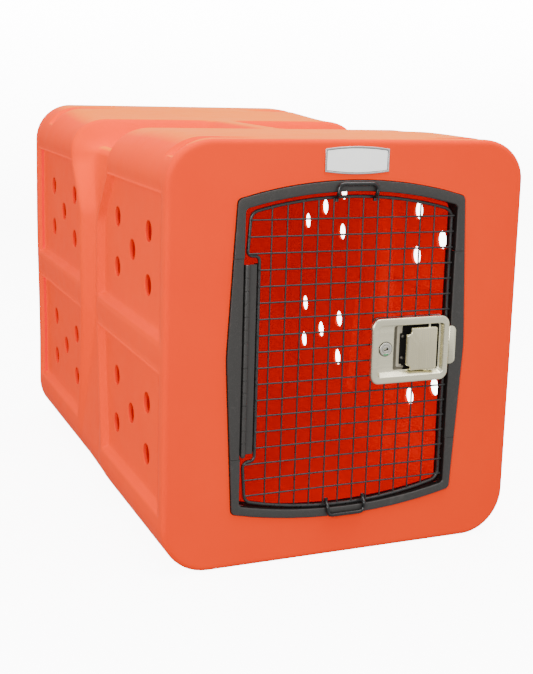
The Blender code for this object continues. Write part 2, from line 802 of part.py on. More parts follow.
def build_stop_loop(name, side, bar_z, door):
    """A bent bar whose feet cross the door's edge wire and whose middle lies on the frame's face."""
    bar_y = FRONT - FRAME_PROUD - LOOP_RADIUS - GAP
    foot_y = EDGE_Y - EDGE_WIRE - LOOP_RADIUS - GAP
    inner_edge = FRAME_TOP - FRAME_BAND if side > 0 else FRAME_BOTTOM + FRAME_BAND
    bend_z = inner_edge - side * 4.5 * MM
    bend = 3 * MM
    half = [(LOOP_HALF_WIDTH, foot_y, bend_z - side * 12 * MM),
            (LOOP_HALF_WIDTH, foot_y, bend_z - side * 8 * MM),
            (LOOP_HALF_WIDTH, bar_y, bend_z),
            (LOOP_HALF_WIDTH, bar_y, bar_z - side * 3 * bend),
            (LOOP_HALF_WIDTH - bend, bar_y, bar_z - side * bend),
            (LOOP_HALF_WIDTH - 3 * bend, bar_y, bar_z)]
    points = half + [(-x, y, z) for x, y, z in reversed(half)]
    points = [(x + LOOP_CENTRE_X, y, z) for x, y, z in points]
    add_object(name, tube(points, LOOP_RADIUS, 8), "black_powder_coat", door)


# ---------------------------------------------------------------- latch


def build_pan(door):
    """The pressed pan: a flange with a folded skirt, a shallow shelf and a deeper pocket."""
    outline = rounded_box(PAN_X, PAN_Z, 15 * MM)
    pan = add_object("latch_pan", prism(outline, PAN_FRONT, PAN_SKIRT), "latch_stainless", door)
    inner_x = (PAN_X[0] + PAN_SHEET, PAN_X[1] - PAN_SHEET)
    inner_z = (PAN_Z[0] + PAN_SHEET, PAN_Z[1] - PAN_SHEET)
    hollow = rounded_box(inner_x, inner_z, 13.5 * MM)
    combine(pan, prism(hollow, PAN_FRONT + PAN_SHEET, PAN_SKIRT + 9 * MM))
    t = PAN_SHEET
    outer_z = (RECESS_Z[0] - t, RECESS_Z[1] + t)
    shelf = box((SHELF_X - t, POCKET_X + t), (PAN_FRONT + 0.5 * t, SHELF_Y + t), outer_z)
    pocket = box((POCKET_X - t, RECESS_RIGHT + t), (PAN_FRONT + 0.5 * t, POCKET_Y + t), outer_z)
    combine(pan, shelf, "UNION")
    combine(pan, pocket, "UNION")
    combine(pan, box((SHELF_X, RECESS_RIGHT), (PAN_FRONT - 9 * MM, SHELF_Y), RECESS_Z))
    combine(pan, box((POCKET_X, RECESS_RIGHT), (SHELF_Y - 3 * MM, POCKET_Y), RECESS_Z))
    bore = circle((LOCK_X, LOCK_Z), LOCK_RADIUS - 1.5 * MM + GAP, 16)
    combine(pan, prism(bore, SHELF_Y - 3 * MM, SHELF_Y + 9 * MM))
    screws = bmesh.new()
    for x, z in pocket_screw_places():
        add_prism(screws, circle((x, z), 1.5 * MM + GAP, 8), POCKET_Y - 3 * MM, POCKET_Y + 5 * MM, along_y)
    combine(pan, face_out(screws))


def pocket_screw_places():
    """The two screws in the pocket floor that hold the bolt housing."""
    return ((88.5 * MM, LOCK_Z + 18 * MM), (88.5 * MM, LOCK_Z - 18 * MM))


def build_mount_plate(door):
    """The plate between pan and wires, with a tab stepped forward over the frame's face."""
    inset = 3.2 * MM
    outline = rounded_box((PAN_X[0] + inset, 172 * MM), (PAN_Z[0] + inset, PAN_Z[1] - inset), 12 * MM)
    plate = add_object("latch_mount_plate", prism(outline, PLATE_FRONT, PLATE_BACK), "latch_stainless",
                       door)
    step_x = 176.3 * MM
    thick = PLATE_BACK - PLATE_FRONT
    tab = [(165 * MM, PLATE_FRONT), (step_x, PLATE_FRONT), (step_x, TAB_FRONT), (TAB_X, TAB_FRONT),
           (TAB_X, TAB_FRONT + thick), (step_x + thick, TAB_FRONT + thick), (step_x + thick, PLATE_BACK),
           (165 * MM, PLATE_BACK)]
    combine(plate, prism(tab, *TAB_Z, along_z), "UNION")
    room = 0.6 * MM + PAN_SHEET
    window = box((SHELF_X - room, RECESS_RIGHT + room), (PLATE_FRONT - 9 * MM, PLATE_BACK + 9 * MM),
                 (RECESS_Z[0] - room, RECESS_Z[1] + room))
    combine(plate, window)


def build_clamp_plate(door):
    """The plate behind the wires that the latch's four screws draw forward."""
    outline = rounded_box((45.6 * MM, 170 * MM), (PAN_Z[0] + 1 * MM, PAN_Z[1] - 1 * MM), 6 * MM)
    plate = add_object("latch_clamp_plate", prism(outline, CLAMP_FRONT, CLAMP_BACK), "zinc_steel",
                       door)
    y = (CLAMP_FRONT - 5 * MM, CLAMP_BACK + 5 * MM)
    combine(plate, box((49.5 * MM, 178 * MM), y, (RECESS_Z[0] - 2 * MM, RECESS_Z[1] + 2 * MM)))
    holes = bmesh.new()
    for x, z in LATCH_SCREWS:
        add_prism(holes, circle((x * MM, z * MM), SCREW_RADIUS + GAP, 8), *y, along_y)
    combine(plate, face_out(holes))
    for number, (x, z) in enumerate(LATCH_SCREWS, 1):
        start = PLATE_BACK + GAP
        head = CLAMP_BACK + GAP - start
        profile = [(0, SCREW_RADIUS), (head, SCREW_RADIUS), (head, HEAD_RADIUS),
                   (head + HEAD_HEIGHT, 0.7 * HEAD_RADIUS)]
        screw = turned(profile, (x * MM, start, z * MM), (0, 1, 0), 10)
        add_object(f"latch_screw_{number}", screw, "zinc_steel", door)


def build_housing(door):
    """The open-ended box behind the pocket that guides the bolt."""
    t = 1.5 * MM
    room = 0.4 * MM
    front = POCKET_Y + PAN_SHEET + GAP
    x = (84 * MM, 172 * MM)
    y = (front, BOLT_Y[1] + room + t)
    z = (BOLT_Z[0] - room - t, BOLT_Z[1] + room + t)
    housing = add_object("latch_housing", box(x, y, z), "zinc_steel", door)
    combine(housing, box((x[0] + t, x[1] + 9 * MM), (BOLT_Y[0] - room, BOLT_Y[1] + room),
                         (BOLT_Z[0] - room, BOLT_Z[1] + room)))
    flange = bmesh.new()
    for place_x, place_z in pocket_screw_places():
        side = math.copysign(1, place_z - LOCK_Z)
        wall = z[1] if side > 0 else z[0]
        z_range = sorted((wall - side * t, place_z + side * 5 * MM))
        add_box(flange, (place_x - 4.5 * MM, place_x + 6 * MM), (front, front + t), z_range)
    combine(housing, face_out(flange), "UNION")
    holes = bmesh.new()
    for place_x, place_z in pocket_screw_places():
        add_prism(holes, circle((place_x, place_z), 1.5 * MM + GAP, 8), front - 3 * MM, front + 2 * t, along_y)
    combine(housing, face_out(holes))
    for number, (place_x, place_z) in enumerate(pocket_screw_places(), 1):
        start = (place_x, POCKET_Y - GAP - 1.6 * MM, place_z)
        profile = [(0, 2 * MM), (0.5 * MM, 3 * MM), (1.6 * MM, 3 * MM), (1.6 * MM, 1.5 * MM), (7 * MM, 1.5 * MM)]
        screw = turned(profile, start, (0, 1, 0), 10)
        add_object(f"housing_screw_{number}", screw, "zinc_steel", door)


def build_paddle(paddle):
    """The pull paddle: a plate with a curled finger edge and two ears on the pivot pin."""
    front = PAN_FRONT + 0.3 * MM
    sheet = PADDLE_SHEET
    curl = [(PADDLE_X[0], front + 5 * MM), (PADDLE_X[0], front + 1.6 * MM), (PADDLE_X[0] + 1.6 * MM, front),
            (PADDLE_X[1], front), (PADDLE_X[1], front + sheet), (PADDLE_X[0] + 2.8 * MM, front + sheet),
            (PADDLE_X[0] + sheet, front + 2.8 * MM), (PADDLE_X[0] + sheet, front + 5 * MM)]
    plate = add_object("paddle", prism(curl, *PADDLE_Z, along_z), "latch_stainless", paddle)
    notches = bmesh.new()
    cut_x = (PADDLE_X[0] - 5 * MM, PADDLE_X[0] + 7 * MM)
    for z in ((PADDLE_Z[0] - 5 * MM, PADDLE_Z[0] + 7 * MM), (PADDLE_Z[1] - 7 * MM, PADDLE_Z[1] + 5 * MM)):
        add_box(notches, cut_x, (front - 5 * MM, front + 9 * MM), z)
    combine(plate, face_out(notches))
    ears = bmesh.new()
    outline = [(PIVOT_X - 7 * MM, front + 0.5 * sheet), (PIVOT_X + 7 * MM, front + 0.5 * sheet),
               (PIVOT_X + 4.5 * MM, PIVOT_Y + 3.5 * MM), (PIVOT_X - 4.5 * MM, PIVOT_Y + 3.5 * MM)]
    for low in (PADDLE_Z[0], PADDLE_Z[1] - sheet):
        add_prism(ears, outline, low, low + sheet, along_z)
    combine(plate, face_out(ears), "UNION")
    bore = circle((PIVOT_X, PIVOT_Y), PIVOT_RADIUS + GAP, 10)
    combine(plate, prism(bore, PADDLE_Z[0] - 5 * MM, PADDLE_Z[1] + 5 * MM, along_z))


def build_pivot(door):
    """The paddle's pin, held between the pocket's walls, with its return spring round it."""
    low, high = RECESS_Z[0] + GAP, RECESS_Z[1] - GAP
    pin = turned([(0, PIVOT_RADIUS), (high - low, PIVOT_RADIUS)], (PIVOT_X, PIVOT_Y, low), (0, 0, 1), 10)
    add_object("paddle_pin", pin, "zinc_steel", door)
    turns, steps, pitch = 5, 8, 1.9 * MM
    radius = PIVOT_RADIUS + GAP + 0.7 * MM
    coil = []
    for i in range(turns * steps + 1):
        a = 2 * math.pi * i / steps
        coil.append((PIVOT_X + radius * math.cos(a), PIVOT_Y + radius * math.sin(a),
                     LOCK_Z - 5 * MM + pitch * i / steps))
    add_object("paddle_spring", tube(coil, 0.5 * MM, 4), "zinc_steel", door)


def build_bolt(bolt, door):
    """The sliding bolt with a slanted tip, and the spring that pushes it out."""
    outline = [(BOLT_TAIL, BOLT_Y[0]), (BOLT_TIP - 0.5 * MM, BOLT_Y[0]), (BOLT_TIP, BOLT_Y[0] + 1 * MM),
               (BOLT_TIP - 7 * MM, BOLT_Y[1]), (BOLT_TAIL, BOLT_Y[1])]
    add_object("latch_bolt", prism(outline, *BOLT_Z, along_z), "zinc_steel", bolt)
    start = 86 * MM
    turns, steps = 8, 8
    length = BOLT_TAIL - GAP - start
    middle_y = sum(BOLT_Y) / 2
    middle_z = sum(BOLT_Z) / 2
    coil = []
    for i in range(turns * steps + 1):
        a = 2 * math.pi * i / steps
        along = start + 0.8 * MM + (length - 1.6 * MM) * i / (turns * steps)
        coil.append((along, middle_y + 3.6 * MM * math.cos(a), middle_z + 3.6 * MM * math.sin(a)))
    add_object("bolt_spring", tube(coil, 0.6 * MM, 4), "zinc_steel", door)


def build_lock(plug, door):
    """A key cylinder in the shelf: body, nut, turning plug and cam."""
    front = SHELF_Y - 1.8 * MM
    body = [(0, LOCK_RADIUS - 1 * MM), (0.6 * MM, LOCK_RADIUS), (1.5 * MM, LOCK_RADIUS),
            (1.5 * MM, LOCK_RADIUS - 1.5 * MM), (20 * MM, LOCK_RADIUS - 1.5 * MM)]
    barrel = add_object("lock_barrel", turned(body, (LOCK_X, front, LOCK_Z), (0, 1, 0), 16),
                        "zinc_steel", door)
    bore = circle((LOCK_X, LOCK_Z), PLUG_RADIUS + GAP, 12)
    combine(barrel, prism(bore, front - 5 * MM, front + 30 * MM))
    nut = circle((LOCK_X, LOCK_Z), 14 * MM, 6)
    ring = add_object("lock_nut", prism(nut, SHELF_Y + PAN_SHEET + GAP, SHELF_Y + PAN_SHEET + 4 * MM),
                      "zinc_steel", door)
    hole = circle((LOCK_X, LOCK_Z), LOCK_RADIUS - 1.5 * MM + GAP, 16)
    combine(ring, prism(hole, SHELF_Y, SHELF_Y + 20 * MM))

    turning = [(0.4 * MM, PLUG_RADIUS), (22 * MM, PLUG_RADIUS)]
    core = add_object("lock_plug", turned(turning, (LOCK_X, front, LOCK_Z), (0, 1, 0), 12),
                      "latch_stainless", plug)
    slot = ((LOCK_X - 0.7 * MM, LOCK_X + 0.7 * MM), (front - 2 * MM, front + 6 * MM),
            (LOCK_Z - 4 * MM, LOCK_Z + 4 * MM))
    combine(core, box(*slot))
    cam_y = (front + 22 * MM + GAP, front + 24.5 * MM)
    cam = rounded_box((LOCK_X - 6 * MM, LOCK_X + 6 * MM), (LOCK_Z - 6 * MM, LOCK_Z + CAM_REACH), 3 * MM, 2)
    add_object("lock_cam", prism(cam, *cam_y), "zinc_steel", plug)


def build_latch(door):
    paddle = add_pivot("paddle_pivot", (PIVOT_X, PIVOT_Y, LOCK_Z), door)
    bolt = add_pivot("bolt_slide", (BOLT_TAIL, sum(BOLT_Y) / 2, sum(BOLT_Z) / 2), door)
    plug = add_pivot("plug_pivot", (LOCK_X, SHELF_Y, LOCK_Z), door)
    build_pan(door)
    build_mount_plate(door)
    build_clamp_plate(door)
    build_housing(door)
    build_paddle(paddle)
    build_pivot(door)
    build_bolt(bolt, door)
    build_lock(plug, door)


# ---------------------------------------------------------------- name plate


def badge_outline(inset):
    half = BADGE_HALF_WIDTH - inset
    steps = 8
    xs = [half - 2 * half * i / steps for i in range(steps + 1)]
    top = [(x, arc_z(x, BADGE_Z[1] + BADGE_BOW - inset, BADGE_ARC, 1)) for x in xs]
    bottom = [(x, arc_z(x, BADGE_Z[0] - BADGE_BOW + inset, BADGE_ARC, -1)) for x in reversed(xs)]
    return top + bottom


def build_badge():
    plate = prism(badge_outline(0.0), FRONT - 2 * MM, FRONT - GAP)
    rim = add_object("name_plate_rim", plate, "plate_rim")
    combine(rim, prism(badge_outline(2.5 * MM), FRONT - 5 * MM, FRONT - 1.2 * MM))
    field = prism(badge_outline(2.5 * MM + GAP), FRONT - 1.8 * MM, FRONT - 1.2 * MM - GAP)
    add_object("name_plate_field", field, "plate_field")


def build():
    for old in list(bpy.data.objects):
        bpy.data.objects.remove(old, do_unlink=True)
    door = add_pivot("door_pivot", (HINGE_X, HINGE_Y, 0.0))
    build_shell()
    build_frame()
    build_hinge(door)
    build_wire_panel(door)
    build_stop_loop("stop_loop_top", 1, 600.5 * MM, door)
    build_stop_loop("stop_loop_bottom", -1, 67.8 * MM, door)
    build_latch(door)
    build_badge()


build()
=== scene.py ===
"""Looks of the animal kennel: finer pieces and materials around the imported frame.

Pieces are shaped in millimetres, like the constants here, and piece() turns them into metres."""
import math

import bmesh
import bpy
import numpy as np
from mathutils import Matrix, Vector


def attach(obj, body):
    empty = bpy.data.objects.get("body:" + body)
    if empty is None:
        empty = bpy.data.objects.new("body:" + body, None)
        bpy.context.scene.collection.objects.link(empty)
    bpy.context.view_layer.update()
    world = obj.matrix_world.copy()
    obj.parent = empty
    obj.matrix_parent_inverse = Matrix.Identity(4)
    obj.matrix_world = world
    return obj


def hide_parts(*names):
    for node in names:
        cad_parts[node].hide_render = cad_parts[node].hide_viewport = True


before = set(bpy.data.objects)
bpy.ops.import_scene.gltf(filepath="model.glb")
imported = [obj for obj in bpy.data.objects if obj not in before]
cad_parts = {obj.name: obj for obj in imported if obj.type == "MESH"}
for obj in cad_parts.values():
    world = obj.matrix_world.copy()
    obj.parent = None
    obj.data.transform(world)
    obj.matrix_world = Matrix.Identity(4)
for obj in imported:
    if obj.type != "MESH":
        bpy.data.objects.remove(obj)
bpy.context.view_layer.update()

MM = 0.001

# ---------------------------------------------------------------- materials


class Graph:
    """A node tree, with short ways to add and join nodes."""

    def __init__(self, tree):
        self.tree = tree

    def add(self, kind, inputs=None, **settings):
        """A new node. Its inputs are plain values, or outputs of other nodes that are joined to it."""
        node = self.tree.nodes.new(kind)
        for key, value in settings.items():
            setattr(node, key, value)
        for key, value in (inputs or {}).items():
            if isinstance(value, bpy.types.NodeSocket):
                self.tree.links.new(value, node.inputs[key])
            else:
                node.inputs[key].default_value = value
        return node

    def coordinate(self, source, axis):
        return self.add("ShaderNodeSeparateXYZ", {"Vector": source}).outputs[axis]

    def spread(self, source, low, high, to_low=0.0, to_high=1.0):
        """Maps a range of values to another, clamped."""
        inputs = {"Value": source, "From Min": low, "From Max": high, "To Min": to_low, "To Max": to_high}
        return self.add("ShaderNodeMapRange", inputs, clamp=True).outputs["Result"]

    def combine(self, first, second, operation="MULTIPLY"):
        """The product or sum of two values."""
        return self.add("ShaderNodeMath", {0: first, 1: second}, operation=operation).outputs[0]


class Finish(Graph):
    """A material's nodes, round its Principled shader."""

    def __init__(self, name):
        self.material = bpy.data.materials.new(name)
        self.material.use_nodes = True
        super().__init__(self.material.node_tree)
        self.shader = self.tree.nodes["Principled BSDF"]
        self.place = self.add("ShaderNodeTexCoord").outputs["Object"]

    def set(self, **values):
        for key, value in values.items():
            self.shader.inputs[key.replace("_", " ")].default_value = value

    def link(self, **sources):
        for key, source in sources.items():
            self.tree.links.new(source, self.shader.inputs[key.replace("_", " ")])

    def stretched(self, scale):
        """Places scaled by a vector, for grain along one direction."""
        return self.add("ShaderNodeMapping", {"Vector": self.place, "Scale": scale}).outputs["Vector"]

    def noise(self, scale, detail=3.0, roughness=0.5, vector=None, distortion=0.0):
        inputs = {"Vector": vector or self.place, "Scale": scale, "Detail": detail, "Roughness": roughness,
                  "Distortion": distortion}
        return self.add("ShaderNodeTexNoise", inputs).outputs["Fac"]

    def cells(self, scale):
        return self.add("ShaderNodeTexVoronoi", {"Vector": self.place, "Scale": scale}).outputs["Distance"]

    def blend(self, share, *colours):
        """Mixes two colours, each given as a value or as another node's colour."""
        first, second = ((*c, 1.0) if isinstance(c, tuple) else c for c in colours)
        return self.add("ShaderNodeMix", {"Factor": share, 6: first, 7: second}, data_type="RGBA").outputs[2]

    def bump(self, height, distance, strength, **onto):
        """A bump's normal; Normal is the one it is laid over."""
        inputs = {"Height": height, "Distance": distance, "Strength": strength, **onto}
        return self.add("ShaderNodeBump", inputs).outputs["Normal"]

    def done(self, colour, roughness, normal):
        self.link(Base_Color=colour, Roughness=roughness, Normal=normal)
        return self.material


def moulded_plastic(name, colour, deep, pale, scuffs, painted_glow=0.0, painted_light_tone=None):
    """Rotomoulded polyethylene: soft mottling, orange peel, slow ripples and a few faint scuffs.

    glow is light painted on as emission, standing in for the light that comes through the thin wall;
    faded is a paler colour painted onto the roof and, faintly, onto the sides and all behind the front face:
    painted light and sheen."""
    n = Finish(name)
    mottle = n.blend(n.spread(n.noise(7.0, 4.0, 0.55), 0.3, 0.7), colour, deep)
    if painted_light_tone:
        # The roof and, a little, everything behind the front face are painted a paler tone: painted light and
        # sheen.
        facing = n.add("ShaderNodeTexCoord").outputs["Normal"]
        front_face, front_edge_end = -0.471, -0.456
        sides = n.spread(n.coordinate(n.place, "Y"), front_face, front_edge_end, 0.0, 0.07)
        roof = n.spread(n.coordinate(facing, "Z"), 0.84, 1.0)
        mottle = n.blend(n.combine(sides, roof, "ADD"), mottle, painted_light_tone)
    cloud = n.blend(n.spread(n.noise(2.6, 2.0, 0.5), 0.42, 0.72, 0.0, 0.25), mottle, pale)
    streaks = n.noise(9.0, 6.0, 0.62, n.stretched((26.0, 3.0, 3.0)), 0.4)
    worn = n.spread(n.combine(streaks, n.noise(5.0, 2.0)), 0.36, 0.5, 0.0, scuffs)
    dust = n.spread(n.cells(420.0), 0.0, 0.12, 0.22, 0.0)
    fleck = n.combine(dust, n.spread(n.noise(60.0, 1.0), 0.56, 0.66))
    tint = n.blend(fleck, n.blend(worn, cloud, pale), deep)
    rough = n.combine(n.spread(n.noise(34.0, 4.0, 0.6), 0.3, 0.7, 0.40, 0.50),
                      n.spread(worn, 0.0, 1.0, 0.0, 0.18), "ADD")
    peel = n.bump(n.noise(620.0, 2.0, 0.5), 0.0002, 0.5)
    wave = n.bump(n.noise(14.0, 1.0, 0.4), 0.0022, 0.16, Normal=peel)
    n.set(IOR=1.08, Emission_Color=(*colour, 1.0), Emission_Strength=painted_glow)
    return n.done(tint, rough, wave)


def powder_coat(name, colour, pale, gloss, grain, shine=0.5):
    """Baked powder coat: fine texture with rubbed high spots."""
    n = Finish(name)
    speck = n.spread(n.noise(1500.0, 2.0, 0.6), 0.52, 0.68)
    rubbed = n.spread(n.noise(45.0, 5.0, 0.65), 0.58, 0.74, 0.0, 0.35)
    tint = n.blend(rubbed, n.blend(n.combine(speck, 0.45), colour, pale), pale)
    rough = n.spread(n.noise(240.0, 3.0), 0.3, 0.7, gloss - 0.06, gloss + 0.08)
    fine = n.bump(n.noise(1100.0, 2.0, 0.55), 0.00012, grain)
    slow = n.bump(n.noise(60.0, 2.0), 0.0006, 0.08, Normal=fine)
    n.set(Specular_IOR_Level=shine)
    return n.done(tint, rough, slow)


def brushed_metal(name, colour, dark, roughness, grain, anisotropic=0.35):
    """Brushed metal: long grain along one direction, faint clouds and fine scratches."""
    n = Finish(name)
    lines = n.noise(1.0, 5.0, 0.65, n.stretched(grain))
    broad = n.noise(28.0, 3.0, 0.55)
    tint = n.blend(n.spread(lines, 0.35, 0.72, 0.0, 0.75), colour, dark)
    tint = n.blend(n.spread(broad, 0.4, 0.75, 0.0, 0.3), tint, dark)
    rough = n.combine(n.spread(lines, 0.3, 0.7, roughness - 0.07, roughness + 0.09),
                      n.spread(broad, 0.3, 0.7, -0.03, 0.04), "ADD")
    n.set(Metallic=1.0, Anisotropic=anisotropic)
    return n.done(tint, rough, n.bump(lines, 0.00004, 0.4))


def plain_plate(name, colour, deep, roughness, painted_glow=0.0):
    """A plate's clear-coated face with faint unevenness; glow is light painted on as emission."""
    n = Finish(name)
    tint = n.blend(n.spread(n.noise(90.0, 4.0, 0.6), 0.35, 0.7), colour, deep)
    rough = n.spread(n.noise(400.0, 2.0), 0.3, 0.7, roughness - 0.04, roughness + 0.05)
    n.set(Coat_Weight=0.3, Coat_Roughness=0.12, Emission_Color=(*colour, 1.0), Emission_Strength=painted_glow)
    return n.done(tint, rough, n.bump(n.noise(700.0, 2.0), 0.00005, 0.3))


# The shell's roof and, faintly, its sides are painted paler: painted light and sheen.
ORANGE = moulded_plastic("orange_shell", (0.97, 0.043, 0.0), (0.94, 0.037, 0.0), (0.98, 0.055, 0.0), 0.22,
                         painted_light_tone=(0.98, 0.19, 0.0))
# The inner skin and the vents' cut edges glow a little: painted light, standing in for light through the thin
# wall.
INNER_RED = moulded_plastic("inner_shell", (0.93, 0.0, 0.0), (0.90, 0.0, 0.0), (0.94, 0.001, 0.0), 0.04, 0.08)
CUT_EDGE = moulded_plastic("cut_edge", (0.95, 0.022, 0.0), (0.92, 0.017, 0.0), (0.96, 0.03, 0.0), 0.1, 0.04)
POWDER = powder_coat("black_powder_coat", (0.024, 0.022, 0.020), (0.080, 0.072, 0.067), 0.46, 0.5)
LOOP_COAT = powder_coat("black_gloss_coat", (0.006, 0.006, 0.006), (0.02, 0.02, 0.02), 0.22, 0.1)
WIRE_COAT = powder_coat("coated_wire", (0.018, 0.017, 0.017), (0.05, 0.048, 0.046), 0.30, 0.25)
# Near-black, put where the real parts only lie in deep shade: painted shade.
PAINTED_SHADE = powder_coat("painted_shade_black", (0.005, 0.0045, 0.004), (0.014, 0.012, 0.011), 0.7, 0.3, 0.12)
NICKEL = brushed_metal("brushed_nickel", (0.90, 0.86, 0.64), (0.66, 0.62, 0.46), 0.27, (6.0, 6.0, 900.0))
PADDLE_NICKEL = brushed_metal("paddle_nickel", (0.86, 0.79, 0.54), (0.62, 0.56, 0.38), 0.25, (900.0, 6.0, 6.0))
ZINC = brushed_metal("zinc_steel", (0.56, 0.57, 0.58), (0.36, 0.37, 0.38), 0.34, (240.0,) * 3, 0.0)
CYLINDER = brushed_metal("lock_face", (0.80, 0.78, 0.70), (0.55, 0.53, 0.46), 0.28, (300.0, 40.0, 300.0), 0.0)
RIM = brushed_metal("plate_rim", (0.68, 0.68, 0.67), (0.42, 0.42, 0.42), 0.28, (6.0, 6.0, 800.0))
DARK_STEEL = brushed_metal("dark_steel", (0.16, 0.15, 0.13), (0.06, 0.055, 0.05), 0.3, (300.0,) * 3, 0.0)
# The name plate's field glows a little: painted light.
FIELD = plain_plate("plate_field", (0.93, 0.93, 0.91), (0.88, 0.88, 0.86), 0.35, 0.35)
SATIN = plain_plate("satin_nickel", (0.52, 0.48, 0.36), (0.44, 0.40, 0.30), 0.4)
SHADED_SATIN = plain_plate("shaded_nickel", (0.15, 0.135, 0.10), (0.11, 0.10, 0.075), 0.4)
GREEN_MARK = plain_plate("green_paint", (0.02, 0.30, 0.09), (0.01, 0.22, 0.06), 0.4)

FRAME_SCREWS = [f"frame_screw_{i}" for i in range(1, 9)]
LATCH_SCREWS = [f"latch_screw_{i}" for i in range(1, 5)]
for node_name in ("frame_backing_ring", "strike_plate", "hinge_pin", "latch_clamp_plate", "latch_housing",
                  "paddle_pin", "paddle_spring", "bolt_spring", "lock_nut", "latch_bolt", "lock_cam",
                  *FRAME_SCREWS, *LATCH_SCREWS):
    for cad_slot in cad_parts[node_name].material_slots:
        cad_slot.material = NICKEL if node_name == "paddle_pin" else ZINC

# ---------------------------------------------------------------- mesh tools

X_AXIS, Y_AXIS, Z_AXIS = Vector((1, 0, 0)), Vector((0, 1, 0)), Vector((0, 0, 1))
CORNER_STEPS = 8
SIDE_STEPS = 6
FILLET_STEPS = 8


def smooth(t):
    t = np.clip(t, 0.0, 1.0)
    return t * t * (3 - 2 * t)


def ramp(value, start, end):
    """Rises softly from 0 at start to 1 at end."""
    return smooth((value - start) / (end - start))


def eased(value, start, end, crisp):
    """A ramp whose ends are a little rounded; crisp is 0 for a soft S and 1 for straight."""
    t = (value - start) / (end - start)
    return crisp * np.clip(t, 0.0, 1.0) + (1 - crisp) * smooth(t)


def mix(first, second, share):
    return first + (second - first) * share


def turns(sides):
    return [2 * math.pi * k / sides for k in range(sides)]


def arc_steps(count, start=0.0, end=90.0):
    return [math.radians(mix(start, end, i / count)) for i in range(count + 1)]


def bend(radius, count, end=90.0):
    """A quarter round from (0, radius) to (radius, 0), or the first part of it."""
    return [(radius * (1 - math.cos(a)), radius * (1 - math.sin(a))) for a in arc_steps(count, 0.0, end)]


def spaced(breaks, counts):
    """Values from the first break to the last, with a count of equal steps between each two."""
    values = [breaks[0]]
    for low, high, count in zip(breaks, breaks[1:], counts):
        values += [low + (high - low) * (i + 1) / count for i in range(count)]
    return values


def circle(centre, side, up, radius, sides):
    return [centre + radius * (math.cos(a) * side + math.sin(a) * up) for a in turns(sides)]


def arc_height(x, middle_z, radius, side):
    """The height of an arc that is level at x = 0. side is 1 where it falls away and -1 where it rises."""
    return middle_z - side * (radius - math.sqrt(radius**2 - x**2))


def rounded_outline(x, z, radius):
    """A round-cornered rectangle's points, the same number whatever its size."""
    centres = ((x[1] - radius, z[0] + radius, -90), (x[1] - radius, z[1] - radius, 0),
               (x[0] + radius, z[1] - radius, 90), (x[0] + radius, z[0] + radius, 180))
    arcs = [[(cx + radius * math.cos(a), cz + radius * math.sin(a))
             for a in arc_steps(CORNER_STEPS, start, start + 90)] for cx, cz, start in centres]
    outline = []
    for k, arc in enumerate(arcs):
        end, ahead = arc[-1], arcs[(k + 1) % 4][0]
        outline += arc
        outline += [(mix(end[0], ahead[0], i / SIDE_STEPS), mix(end[1], ahead[1], i / SIDE_STEPS))
                    for i in range(1, SIDE_STEPS)]
    return outline


def at_depth(outline, y):
    return [(u, y, w) for u, w in outline]


def grown(x, z, amount):
    return (x[0] - amount, x[1] + amount), (z[0] - amount, z[1] + amount)


def plate_ring(x, z, radius, y, grow=0.0):
    """A round-cornered rectangle at a depth, with its edge moved outward."""
    return at_depth(rounded_outline(*grown(x, z, grow), max(radius + grow, 0.4)), y)


def filleted(corners, closed=False):
    """A path through 3-D corners (point, radius), with each corner rounded."""
    path = []
    count = len(corners)
    for i, (point, radius) in enumerate(corners):
        point = Vector(point)
        if radius == 0 or (not closed and i in (0, count - 1)):
            path.append(point)
            continue
        back = (Vector(corners[i - 1][0]) - point).normalized()
        ahead = (Vector(corners[(i + 1) % count][0]) - point).normalized()
        half = back.angle(ahead) / 2
        reach = radius / math.tan(half)
        centre = point + (back + ahead).normalized() * (radius / math.sin(half))
        start = point + back * reach - centre
        end = point + ahead * reach - centre
        turn = start.angle(end)
        for k in range(FILLET_STEPS + 1):
            t = k / FILLET_STEPS
            arm = start * math.sin((1 - t) * turn) + end * math.sin(t * turn)
            path.append(centre + arm / math.sin(turn))
    return path


